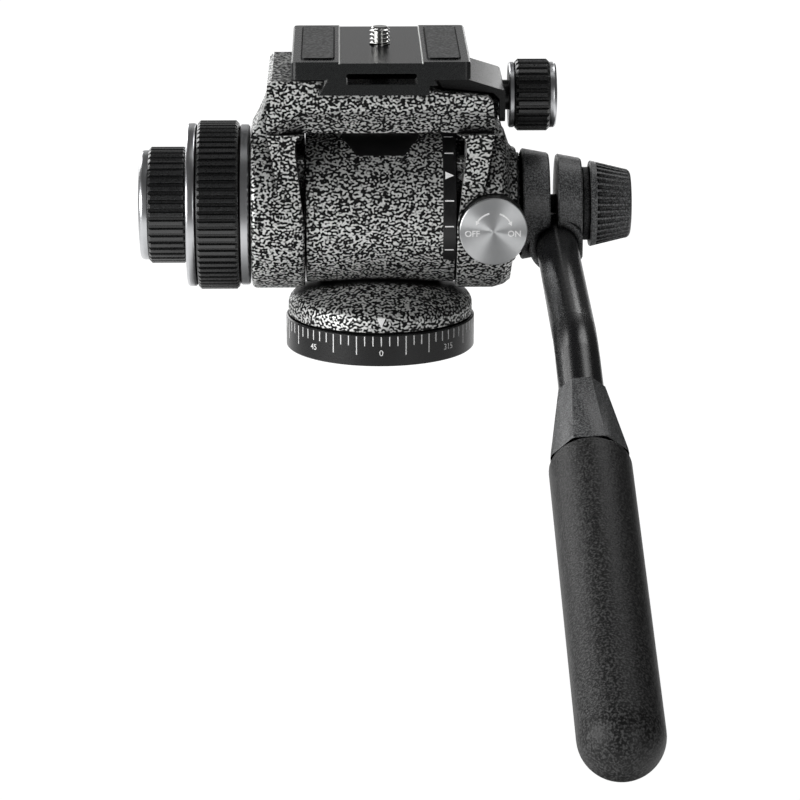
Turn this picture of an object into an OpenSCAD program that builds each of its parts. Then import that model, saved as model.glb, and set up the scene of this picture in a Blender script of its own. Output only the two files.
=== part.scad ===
// Two-way fluid head: a pan and tilt head with a plate clamp and a pan bar.
// Millimetres, +Z up. The origin is the mouth of the tripod thread, in the middle of the base's underside.
// The tilt axis runs along X. The operator stands on the -Y side and the pan bar points there.

/* [Base dial] */
// Diameter of the graduated base dial
base_d = 60; // [56:0.5:66]
// Height of the graduated base dial
dial_h = 10.1; // [9.5:0.1:12]
// Bevel around the lower edge of the dial
dial_bevel = 0.3; // [0.3:0.1:1.5]
// Nominal diameter of the tripod thread
tripod_thread_d = 9.525; // [6.35:3.175:9.525]
// Depth of the tripod thread
tripod_thread_l = 10; // [8:0.5:11]
// Diameter of the foot flange of the pan spindle
spindle_foot_d = 24; // [22:0.5:28]
// Diameter of the upper part of the pan spindle
spindle_d = 10; // [8:0.5:11]
// Width across the flats of the spindle nut
nut_af = 14; // [13:0.5:14]

/* [Pan housing] */
// Height of the seam between dial and housing
seam_h = 0.6; // [0.4:0.1:1]
// Diameter of the foot of the housing
foot_d = 58.6; // [55:0.2:60]
// Upright part of the wall of the foot
foot_wall_h = 2.8; // [1.5:0.1:4]
// Radius of the rounded shoulder of the foot
foot_round = 4.2; // [2:0.1:5]
// Height of the tilt axis above the underside of the housing
axis_h = 34.7; // [34.5:0.1:40]
// Diameter of the drum that the tilt axis runs through
drum_d = 49; // [46:0.5:50]
// Width of the drum along the tilt axis
drum_w = 47; // [44:0.5:52]
// Wall of the drum
drum_wall = 3.5; // [2.5:0.1:4]
// Thickness of the two end caps in the drum
cap_t = 4; // [3:0.1:5]
// Width of the tilt scale at the right end of the drum
scale_w = 4.1; // [3:0.1:5]
// Depth of the tilt scale in the drum
scale_t = 0.6; // [0.4:0.1:1]
// Half angle of the drum's underside that the tilt scale leaves free
scale_a = 57; // [40:1:70]
// Width of the access cap on top of the drum
access_w = 24; // [18:0.5:26]
// Length of the access cap across the drum
access_l = 31.4; // [24:0.2:34]

/* [Tilt cradle] */
// Diameter of the two round cheeks
cheek_d = 52.8; // [51:0.2:53]
// Thickness of each cheek
cheek_w = 16.7; // [16:0.1:20]
// Width of the slab above the cheeks
slab_w = 70; // [66:0.5:74]
// Length of the slab from front to back
slab_l = 53; // [48:0.5:56]
// Height of the slab at its fixed jaw
slab_h = 16; // [15:0.1:20]
// Underside of the slab above the tilt axis
slab_rise = 28.3; // [27:0.1:34]
// Depth of the sloped brow under the front of the slab
brow_d = 4.6; // [1:0.1:6]
// Height of that brow
brow_h = 6.6; // [4:0.1:9]
// How far the slab reaches down over the window
brow_low = 1.2; // [0.6:0.1:1.6]
// Diameter of the boss that carries the pan bar
boss_d = 36.6; // [34:0.2:40]
// Height of that boss above the cheek
boss_h = 2.5; // [2:0.1:4]
// Diameter of the two trunnions
trunnion_d = 12; // [11:0.5:13]

/* [Plate and its clamp] */
// Width of the camera plate
plate_w = 54.8; // [50:0.2:60]
// Length of the camera plate
plate_l = 68; // [60:0.5:76]
// Thickness of the flange of the plate
plate_t = 5.5; // [5:0.1:7]
// Width of the dovetail at its foot
dovetail_w = 38; // [36:0.5:42]
// Width of the dovetail at its neck
neck_w = 32.6; // [31:0.2:34]
// Height of the dovetail
dovetail_h = 4.8; // [4:0.1:5.5]
// Width of each rubber pad
pad_w = 10.3; // [8:0.1:11]
// Length of each rubber pad
pad_l = 58; // [50:0.5:58]
// How far the pads stand out of the plate
pad_proud = 0.45; // [0.2:0.05:1]
// Nominal diameter of the camera screw
camera_screw_d = 6.35; // [6.35:3.175:9.525]
// Length of the camera screw above the plate
camera_screw_l = 5.4; // [4:0.1:8]
// Opening travel of the moving jaw
jaw_travel = 3; // [2:0.1:4]
// Length of the moving jaw from front to back
jaw_l = 42; // [36:0.5:46]
// Height of the lock knob axis above the slab's underside
lock_rise = 6.8; // [6:0.1:9]
// Diameter of the ribbed part of the lock knob
lock_d = 22.6; // [20:0.2:26]
// Length of the ribbed part of the lock knob
lock_l = 11; // [9:0.1:14]

/* [Left knobs] */
// Diameter of the ribbed tilt drag ring
drag_d = 53.4; // [50:0.2:56]
// Length of the ribbed part of the tilt drag ring
drag_l = 13; // [11:0.1:16]
// Width of each bright ring beside the ribs
trim_w = 3.1; // [2.5:0.1:4]
// Diameter of the ribbed pan lock knob
pan_knob_d = 36.8; // [32:0.2:42]
// Length of the ribbed part of the pan lock knob
pan_knob_l = 12; // [10:0.1:15]
// Length of the domed cap of the pan lock knob
pan_cap_l = 3.4; // [2.8:0.1:5]

/* [Balance selector] */
// Diameter of the selector knob
selector_d = 21.1; // [18:0.1:21.3]
// Distance of the selector axis from the middle of the head
selector_x = 34.8; // [34.5:0.1:36]
// Drop of the selector axis below the tilt axis
selector_drop = 2.1; // [0:0.1:4]
// Travel of the clutch pin between off and on
clutch_travel = 3; // [2:0.1:3.5]

/* [Pan bar] */
// Diameter of the bar clamp at the boss
clamp_d1 = 35.2; // [34:0.2:40]
// Diameter of the bar clamp at the knob
clamp_d2 = 29; // [26:0.2:32]
// Length of the bar clamp along the tilt axis
clamp_l = 19; // [18:0.1:24]
// Slit between the two halves of the clamp
clamp_slit = 2.4; // [1:0.1:3]
// Diameter of the bar tube
bar_d = 13; // [11:0.2:14]
// Wall of the bar tube
bar_wall = 1.2; // [0.8:0.1:2]
// Slope of the bar below the horizontal
bar_slope = 4; // [0:0.5:8]
// Length of the straight part from the tilt axis to the bend
bar_l1 = 110; // [90:1:140]
// Angle of the bend in the bar
bar_bend = 21.6; // [10:0.2:35]
// Roll of the bend about the bar
bar_roll = 3.5; // [0:0.5:8]
// Radius of the bend
bend_r = 45; // [35:1:70]
// Length of bare tube between the bend and the collar
bar_run = 14.9; // [8:0.1:40]
// Length of the grip
grip_l = 115.5; // [90:0.5:130]
// Diameter of the grip
grip_d = 23.4; // [20:0.2:28]
// Length of the eight-sided collar above the grip
collar_l = 30; // [16:0.5:32]
// Diameter of the bolt of the bar clamp
bolt_d = 6; // [5:0.5:7]
// Large diameter of the bar knob
bar_knob_d = 27.2; // [24:0.2:32]
// Length of the bar knob
bar_knob_l = 13.1; // [11:0.1:17]
// Number of flutes of the bar knob
flute_n = 36; // [24:1:44]

/* [Fits] */
// Radial clearance of a running fit
fit = 0.05; // [0.02:0.01:0.1]
// Gap between parts that move past each other
run_gap = 0.3; // [0.25:0.05:0.5]

/* [Hidden] */
$fn = 96;
eps = 0.01;
far = 60;

paint = [0.30, 0.31, 0.32];
black = [0.08, 0.08, 0.09];
silver = [0.62, 0.63, 0.65];
steel = [0.55, 0.56, 0.58];
bronze = [0.66, 0.48, 0.25];
rubber = [0.05, 0.05, 0.05];

// levels above the base's underside
foot_z = dial_h + seam_h;
axis_z = foot_z + axis_h;
slab_z = axis_z + slab_rise;
slab_top = slab_z + slab_h;
plate_z = slab_top - 3;
flange_z = plate_z + dovetail_h;
plate_top = flange_z + plate_t;
lock_z = slab_z + lock_rise;

// radii about the tilt axis
drum_r = drum_d / 2;
bore_r = drum_r - drum_wall;
cheek_r = cheek_d / 2;
trunnion_r = trunnion_d / 2;
bush_t = 1.2;
spigot_r = trunnion_r + bush_t + 1.8;
pack_r = cheek_r - 9.4;
sleeve_r = trunnion_r + 2;
hub_r = trunnion_r + 7.5;
clutch_r = hub_r + 1.6;

// distances from the middle of the head along the tilt axis
drum_x = drum_w / 2;
cheek_in = drum_x + run_gap;
cheek_out = cheek_in + cheek_w;
wall_x = cheek_out - 6;
cap_in = drum_x - cap_t;
core_x = 9;
boss_x = cheek_out + boss_h;
hub_x0 = selector_x - 3.4;
hub_x1 = selector_x + 3;

// pan spindle and its damper
spindle_r = spindle_d / 2;
thread_r = tripod_thread_d / 2;
spindle_body_r = thread_r + 3.2;
spindle_foot_t = 2.5;
spindle_body_z = tripod_thread_l + 2.5;
washer_t = 0.8;
seat_z = axis_z - bore_r;
nut_z = seat_z + 2.4;
nut_t = 6;
spindle_top = nut_z + nut_t + 0.4;
brake_r = nut_af / 2 + 0.9;
brake_t = 2;
cell_ri = spindle_body_r + 3;
cell_ro = foot_d / 2 - 5;
trough_z = 5;
cell_top = foot_z + 4.3;
plate_w_damper = 1.2;
fin_t = 1;
fin_n = 5;
fin_pitch = (cell_ro - cell_ri - 2.4) / fin_n;

// tilt damper, friction pack and pan brake
stator_x = cap_in - plate_w_damper;
rotor_x = core_x + 0.1;
tilt_fin_r0 = spigot_r + 1;
tilt_fin_pitch = (bore_r - tilt_fin_r0 - 1) / 5;
disc_t = 1.2;
disc_gap = 0.2;
press_t = 1.8;
press_travel = 0.6;
rod_r = 2.5;
rod_tip_r = 0.6;
rod_tip_x = 1.5;
stem_r = 4;
stem_x = 50;
plunger_r = 3;
plunger_gap = 0.1;
bridge_t = 4;

// plate clamp
floor_z = plate_z - 0.1;
flank = (dovetail_w - neck_w) / 2 / dovetail_h;
lip_z = flange_z - 1.8;
rebate_x = neck_w / 2 - 1.5;
jaw_gap = 0.15;
jaw_top = flange_z - 0.2;
jaw_edge_z = flange_z - 2.4;
ledge_z = floor_z - 0.5;
ledge_fall = 1.6;
brow_run = 11;
// the groove that sets the slab off from the cheeks
groove_h = 1;
groove_d = 2.6;
jaw_low = ledge_z + 0.5;
jaw_slope = 0.31;
jaw_bend_x = plate_w / 2 - (jaw_top - jaw_edge_z) / jaw_slope;
leg_x = slab_w / 2 + 1.8;
leg_t = 1.8;
leg_low = slab_z + 2.1;
lock_x = leg_x + leg_t;
jaw_end = jaw_edge_z - (lock_x - 0.5 - plate_w / 2) * jaw_slope;
lock_bush_l = 1.8;
lock_ring_l = 1.9;
lock_cap_l = 2.5;
stud_d = 6;
stud_depth = 16;
stud_x1 = lock_x + lock_bush_l + lock_ring_l + lock_l - 1;
pocket_d = 2 * camera_screw_d + 4.3;
pocket_h = 3.4;
pad_x = plate_w / 2 - 2.9 - pad_w;
channel_w = 2 * pad_x - 3;
channel_h = 0.4;

// left knobs
drag_x0 = cheek_out + 0.6;
drag_x1 = drag_x0 + trim_w + run_gap;
drag_x2 = drag_x1 + drag_l;
drag_x3 = drag_x2 + run_gap;
drag_x4 = drag_x3 + trim_w;
drag_core_r = drag_d / 2 - 3.2;
pan_x0 = drag_x4 + run_gap;
pan_x1 = pan_x0 + pan_knob_l;
pan_x2 = pan_x1 + pan_cap_l;
pan_core_r = pan_knob_d / 2 - 2.2;

// balance selector
selector_z = axis_z - selector_drop;
selector_r = selector_d / 2;
recess_y = cheek_r - 3.1;
selector_y = recess_y + 0.3;
selector_front = selector_y + 6.8;
face_t = 0.8;
stem_sel_r = 4.5;
stem_sel_y = recess_y - 4.8;
pin_r = 2;
pin_y0 = hub_r + 0.7;
pin_y1 = pin_y0 + 9;

// bar clamp and bar
rosette_t = 0.4;
tooth_h = 0.5;
tooth_n = 36;
clamp_x0 = boss_x + rosette_t + tooth_h + 0.2 + tooth_h;
clamp_x1 = clamp_x0 + clamp_l;
slit_x = clamp_x0 + clamp_l / 2 - clamp_slit / 2 + 0.4;
bar_x = slit_x + clamp_slit / 2 + 1.0;
bar_r = bar_d / 2;
bar_off = bar_r + bolt_d / 2 + fit + 0.1;
ring_r = bar_r + 2.3;
ring_y = clamp_d1 / 2 - 2;
bend_t = bend_r * tan(bar_bend / 2);
bend_in = 0.04;
bend_lap = 0.6;
grip_s = bend_t + bar_run + collar_l;
bar_l2 = grip_s + grip_l;
washer_x = clamp_x1 + 0.2;
washer_l = 2.2;
bar_knob_x = washer_x + washer_l + 0.2;
knob_taper = 0.2;
knob_rim = 2.1;
knob_round = 1.8;
flute_r = 0.75;
flute_out = 0.05;

// A ring about the local Z axis, bevelled by b at its outer edges.
module ring(ri, ro, z0, z1, b = 0) {
    rotate_extrude()
        polygon([[ri, z0], [ro - b, z0], [ro, z0 + b], [ro, z1 - b], [ro - b, z1], [ri, z1]]);
}

// A ring whose outer corners are rounded by q.
module soft_ring(ri, ro, z0, z1, q) {
    rotate_extrude()
        polygon(concat([[ri, z0]],
            [for (a = [-90:15:0]) [ro - q + q * cos(a), z0 + q + q * sin(a)]],
            [for (a = [0:15:90]) [ro - q + q * cos(a), z1 - q + q * sin(a)]],
            [[ri, z1]]));
}

// The right half of the tilt axis: local Z points to +X and starts at the middle of the head.
module right() {
    translate([0, 0, axis_z]) rotate([0, 90, 0]) children();
}

// The left half of the tilt axis: local Z points to -X.
module left() {
    translate([0, 0, axis_z]) rotate([0, -90, 0]) children();
}

// The outline of a ribbed grip: n ribs about as broad as the grooves of depth d.
function ribs(n, r, d) = [for (i = [0:n - 1]) each [
    for (k = [[0.00, 0], [0.12, 1], [0.42, 1], [0.54, 0], [0.77, 0]])
        let (a = (i + k[0]) * 360 / n, q = r - d * k[1])
        [q * cos(a), q * sin(a)]]];

// A ribbed sleeve about the local Z axis with bevelled ends.
module ribbed(n, ro, ri, z0, z1, d, b) {
    difference() {
        intersection() {
            translate([0, 0, z0]) linear_extrude(height = z1 - z0) polygon(ribs(n, ro, d));
            ring(0, ro + 0.5, z0, z1, b + 0.5);
        }
        translate([0, 0, z0 - 1]) cylinder(r = ri, h = z1 - z0 + 2);
    }
}

// Concentric damper fins: the fins k0, k0+2 and so on.
module fins(k0, r0, pitch, z0, z1) {
    for (k = [k0:2:fin_n - 1])
        ring(r0 + k * pitch, r0 + k * pitch + fin_t, z0, z1);
}

// A rounded block between two corners in plan, with radius q.
function plan(x0, x1, y0, y1, q) = concat(
    [for (a = [180:15:270]) [x0 + q + q * cos(a), y0 + q + q * sin(a)]],
    [for (a = [270:15:360]) [x1 - q + q * cos(a), y0 + q + q * sin(a)]],
    [for (a = [0:15:90]) [x1 - q + q * cos(a), y1 - q + q * sin(a)]],
    [for (a = [90:15:180]) [x0 + q + q * cos(a), y1 - q + q * sin(a)]]);

// Draws an X-Z outline and gives it the length l along Y, centred.
module along_y(l) {
    translate([0, l / 2, 0]) rotate([90, 0, 0]) linear_extrude(height = l) children();
}

// The base dial, with the trough of the pan damper and the seat of the spindle.
module base_dial() color(black) {
    difference() {
        rotate_extrude()
            polygon([[spindle_body_r, 0], [base_d / 2 - dial_bevel, 0], [base_d / 2, dial_bevel],
                [base_d / 2, dial_h - 0.4], [base_d / 2 - 0.4, dial_h], [spindle_body_r, dial_h]]);
        ring(cell_ri, cell_ro, trough_z, dial_h + 1);
        translate([0, 0, -1]) cylinder(r = spindle_foot_d / 2, h = spindle_foot_t + 1);
        screw_places() translate([0, 0, -1]) cylinder(r = 1.25, h = trough_z - 0.4 + 1, $fn = 32);
    }
}

// Three places around the foot of the spindle.
module screw_places() {
    for (a = [90, 210, 330])
        rotate([0, 0, a]) translate([(spindle_body_r + spindle_foot_d / 2) / 2, 0, 0]) children();
}

// The pan spindle: the tripod thread below, the bearing and the nut thread above.
module pan_spindle() color(steel) {
    difference() {
        rotate_extrude()
            polygon([[0, 0], [spindle_foot_d / 2, 0], [spindle_foot_d / 2, spindle_foot_t],
                [spindle_body_r, spindle_foot_t], [spindle_body_r, spindle_body_z],
                [spindle_r, spindle_body_z], [spindle_r, spindle_top], [0, spindle_top]]);
        translate([0, 0, -1]) cylinder(r = thread_r, h = tripod_thread_l + 1);
        screw_places() translate([0, 0, -1]) cylinder(r = 1.25, h = spindle_foot_t + 2, $fn = 32);
        screw_places() translate([0, 0, -1]) cylinder(r = 1.8, h = 2, $fn = 32);
    }
}

// Three screws that hold the dial to the spindle.
module base_screws() color(steel) {
    screw_places() difference() {
        union() {
            translate([0, 0, 0.1]) cylinder(r = 1.8, h = 0.9, $fn = 32);
            translate([0, 0, 1]) cylinder(r = 1.25, h = trough_z - 1.6, $fn = 32);
        }
        translate([0, 0, -0.4]) cylinder(r = 0.8, h = 1.1, $fn = 6);
    }
}

// The sliding washer under the pan bush.
module pan_thrust_washer() color([0.85, 0.84, 0.78]) {
    ring(spindle_r, spindle_body_r - 0.2, spindle_body_z, spindle_body_z + washer_t);
}

// Two disc springs that take up the play of the pan axis.
module disc_springs() color(steel) {
    for (s = [0, 1])
        translate([0, 0, seat_z + 1.2]) mirror([0, 0, s])
            rotate_extrude()
                polygon([[spindle_r, 0.35], [spindle_r + 2.6, 0], [spindle_r + 2.6, 0.75], [spindle_r, 1.1]]);
}

// The nut at the top of the spindle.
module spindle_nut() color(steel) {
    difference() {
        translate([0, 0, nut_z]) cylinder(r = nut_af / sqrt(3), h = nut_t, $fn = 6);
        translate([0, 0, nut_z - 1]) cylinder(r = spindle_r, h = nut_t + 2);
    }
}

// The disc on top of the spindle that the pan brake bears on.
module brake_disc() color(steel) {
    ring(0, brake_r, spindle_top, spindle_top + brake_t, 0.3);
}

// The lower half of the pan damper: the fins stand up in grease.
module pan_damper_lower() color(silver) {
    ring(cell_ri, cell_ro, trough_z, trough_z + plate_w_damper);
    fins(0, cell_ri + 1.2, fin_pitch, trough_z + plate_w_damper, cell_top - plate_w_damper - 0.6);
}

// The upper half of the pan damper: its fins hang between the others.
module pan_damper_upper() color(silver) {
    ring(cell_ri, cell_ro, cell_top - plate_w_damper, cell_top);
    fins(1, cell_ri + 1.2, fin_pitch, trough_z + plate_w_damper + 0.7, cell_top - plate_w_damper);
}

// The outline of the foot and the dome above it.
function dome() = let (
    r0 = foot_d / 2, z0 = foot_z + foot_wall_h, q = foot_round,
    r1 = r0 - q * (1 - cos(62)), z1 = z0 + q * sin(62), rt = spindle_body_r + 3.5, zt = seat_z - 1.6)
    concat([[0, foot_z], [r0, foot_z]],
        [for (a = [0:10.333:62]) [r0 - q + q * cos(a), z0 + q * sin(a)]],
        [for (t = [0.125:0.125:1]) [r1 + (rt - r1) * t, z1 + (zt - z1) * (t * 1.35 - 0.35 * t * t)]],
        [[0, zt]]);

// The access opening in plan.
function access() = let (w = access_w / 2, l = access_l / 2, c = 4.4)
    [[-w + c, -l], [w - c, -l], [w, -l + c * 1.6], [w, l - c * 1.6], [w - c, l], [-w + c, l],
        [-w, l - c * 1.6], [-w, -l + c * 1.6]];

// The pan housing: foot, dome and drum in one casting.
module pan_housing() color(paint) {
    difference() {
        union() {
            rotate_extrude() polygon(dome());
            right() ring(0, drum_r, -drum_x, drum_x, 0.4);
        }
        right() translate([0, 0, -drum_x - 1]) cylinder(r = bore_r, h = drum_w + 2);
        right() difference() {
            translate([0, 0, drum_x - scale_w]) cylinder(r = drum_r + 1, h = scale_w + 1);
            translate([0, 0, drum_x - scale_w - 1]) cylinder(r = drum_r - scale_t, h = scale_w + 3);
            sector(-scale_a, scale_a, drum_r * 2, drum_x - scale_w - 2, drum_x + 3);
        }
        translate([0, 0, axis_z]) linear_extrude(height = drum_d) polygon(access());
        ring(cell_ri, cell_ro, foot_z - 1, cell_top);
        translate([0, 0, foot_z - 1])
            cylinder(r = spindle_body_r + run_gap, h = spindle_body_z - foot_z + 1 + 0.2);
        translate([0, 0, foot_z]) cylinder(r = spindle_body_r - 0.2, h = axis_h);
        translate([0, 0, seat_z]) cylinder(r = brake_r + 0.6, h = bore_r / 2);
    }
}

// A wedge between two angles about the local Z axis.
module sector(a0, a1, r, z0, z1) {
    translate([0, 0, z0]) linear_extrude(height = z1 - z0)
        polygon([[0, 0], [r * cos(a0), r * sin(a0)],
            [r * cos((a0 + a1) / 2) * 1.2, r * sin((a0 + a1) / 2) * 1.2],
            [r * cos(a1), r * sin(a1)]]);
}

// The felt ring in the seam between dial and housing.
module pan_seal() color(rubber) {
    ring(cell_ro + 1.2, foot_d / 2 - 1.6, dial_h, foot_z);
}

// The bronze bush of the pan axis.
module pan_bush() color(bronze) {
    ring(spindle_r + fit, spindle_body_r - 0.2, spindle_body_z + washer_t + 0.05, seat_z);
}

// The black tilt scale let into the right end of the drum.
module tilt_scale() color(black) {
    right() difference() {
        ring(drum_r - scale_t, drum_r, drum_x - scale_w, drum_x);
        sector(-scale_a, scale_a, drum_r * 2, drum_x - scale_w - 2, drum_x + 3);
    }
}

// The cap over the opening through which the spindle nut is reached.
module access_cap() color(black) {
    difference() {
        intersection() {
            translate([0, 0, axis_z]) linear_extrude(height = drum_d) polygon(access());
            right() translate([0, 0, -access_w]) cylinder(r = drum_r - 0.25, h = 2 * access_w);
        }
        right() translate([0, 0, -access_w]) cylinder(r = bore_r + 1.2, h = 2 * access_w);
    }
}

// The left end cap of the drum, with the spigot that carries the friction discs.
module drum_cap_left() color(silver) {
    left() rotate_extrude()
        polygon([[trunnion_r + bush_t, cap_in], [bore_r, cap_in], [bore_r, drum_x], [spigot_r, drum_x],
            [spigot_r, wall_x - press_t - 0.3], [trunnion_r + bush_t, wall_x - press_t - 0.3]]);
}

// The right end cap of the drum.
module drum_cap_right() color(silver) {
    right() ring(sleeve_r + bush_t, bore_r, cap_in, drum_x);
}

// The bronze bush of the left trunnion.
module tilt_bush_left() color(bronze) {
    left() ring(trunnion_r + fit, trunnion_r + bush_t, cap_in, wall_x - press_t - 0.3);
}

// The bronze bush of the counterbalance sleeve.
module tilt_bush_right() color(bronze) {
    right() ring(sleeve_r + fit, sleeve_r + bush_t, cap_in, drum_x);
}

// The fixed half of the tilt damper.
module tilt_damper_stator() color(silver) {
    left() {
        ring(tilt_fin_r0 - 0.5, bore_r, stator_x, cap_in);
        fins(0, tilt_fin_r0, tilt_fin_pitch, rotor_x + plate_w_damper + 0.8, stator_x);
    }
}

// The turning half of the tilt damper, fixed on the left trunnion.
module tilt_damper_rotor() color(silver) {
    left() {
        ring(trunnion_r, bore_r - 0.6, rotor_x, rotor_x + plate_w_damper);
        fins(1, tilt_fin_r0, tilt_fin_pitch, rotor_x + plate_w_damper, stator_x - 0.8);
    }
}

// Three fibre discs on the spigot of the drum.
module friction_discs_fibre() color([0.36, 0.25, 0.16]) {
    left() for (i = [0:2])
        translate([0, 0, cheek_in + 0.3 + i * 2 * (disc_t + disc_gap)])
            ring(spigot_r, pack_r - 1.4, 0, disc_t);
}

// Two steel discs held in the bore of the left cheek.
module friction_discs_steel() color(steel) {
    left() for (i = [0:1])
        translate([0, 0, cheek_in + 0.3 + (i * 2 + 1) * (disc_t + disc_gap)])
            ring(spigot_r + 1, pack_r, 0, disc_t);
}

// The counterbalance spring: a round wire wound about the sleeve of the hub.
spring_wire_r = 1;
spring_r = (sleeve_r + bore_r) / 2;
spring_turns = 3.5;
spring_x0 = core_x + 1.6 + spring_wire_r;
spring_x1 = cap_in - 0.4 - spring_wire_r;
spring_pitch = (spring_x1 - spring_x0) / spring_turns;
function coil_point(i, k, n, m) = let (
    a = i * 360 / n, b = k * 360 / m, q = spring_r + spring_wire_r * cos(b))
    [q * cos(a), q * sin(a), spring_x0 + spring_pitch * i / n + spring_wire_r * sin(b)];
module counterbalance_spring() color(steel) {
    n = 24;
    m = 8;
    c = n * spring_turns;
    echo("least gap between turns of the counterbalance spring", spring_pitch - 2 * spring_wire_r);
    right() polyhedron(
        points = [for (i = [0:c]) for (k = [0:m - 1]) coil_point(i, k, n, m)],
        faces = concat(
            [for (i = [0:c - 1]) for (k = [0:m - 1]) each [
                [i * m + k, i * m + (k + 1) % m, (i + 1) * m + (k + 1) % m],
                [i * m + k, (i + 1) * m + (k + 1) % m, (i + 1) * m + k]]],
            [[for (k = [0:m - 1]) m - 1 - k], [for (k = [0:m - 1]) c * m + k]]));
}

// The bridge inside the drum that guides the brake plunger.
bridge_z = spindle_top + brake_t + 1.6;
bridge_w = 12;
module brake_bridge() color(steel) {
    difference() {
        intersection() {
            translate([-bridge_w / 2, -drum_r, bridge_z]) cube([bridge_w, drum_d, bridge_t]);
            right() translate([0, 0, -7]) cylinder(r = bore_r, h = 14);
        }
        translate([0, 0, bridge_z - 1]) cylinder(r = plunger_r + fit, h = bridge_t + 2);
    }
}

// The plunger of the pan brake: the rod's cone drives it down onto the brake disc.
module brake_plunger() color(steel) {
    z0 = spindle_top + brake_t + 0.8;
    difference() {
        translate([0, 0, z0]) cylinder(r = plunger_r, h = axis_z - z0 + 2);
        translate([rod_tip_x, 0, axis_z - rod_tip_r - plunger_gap * sqrt(2)]) rotate([0, -45, 0])
            translate([-15, -10, 0]) cube([30, 20, 10]);
    }
}

// The rod of the pan brake in the hollow left trunnion.
module brake_rod() color(steel) {
    left() rotate_extrude()
        polygon([[0, -rod_tip_x], [rod_tip_r, -rod_tip_x], [rod_r, rod_r - rod_tip_r - rod_tip_x],
            [rod_r, stem_x - 0.2], [0, stem_x - 0.2]]);
}

// The flare between the slab's side and a cheek: from height z1 out to x2, with a bow of power e.
function flare(z1, x1, x2, e) = concat(
    [for (t = [0:0.1:1]) [x1 + (x2 - x1) * pow(t, e), z1 + (axis_z + cheek_r - 1.8 - z1) * t]],
    [[x2, axis_z], [cheek_in + 3, axis_z], [cheek_in + 3, z1]]);

// The X-Z outline of one cheek's wall, narrower below.
function wall(s) = [[s * cheek_in, axis_z - 2], [s * (cheek_in + 6.2), axis_z - 2],
    [s * (slab_w / 2 + 0.4), slab_z], [s * cheek_in, slab_z]];

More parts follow.
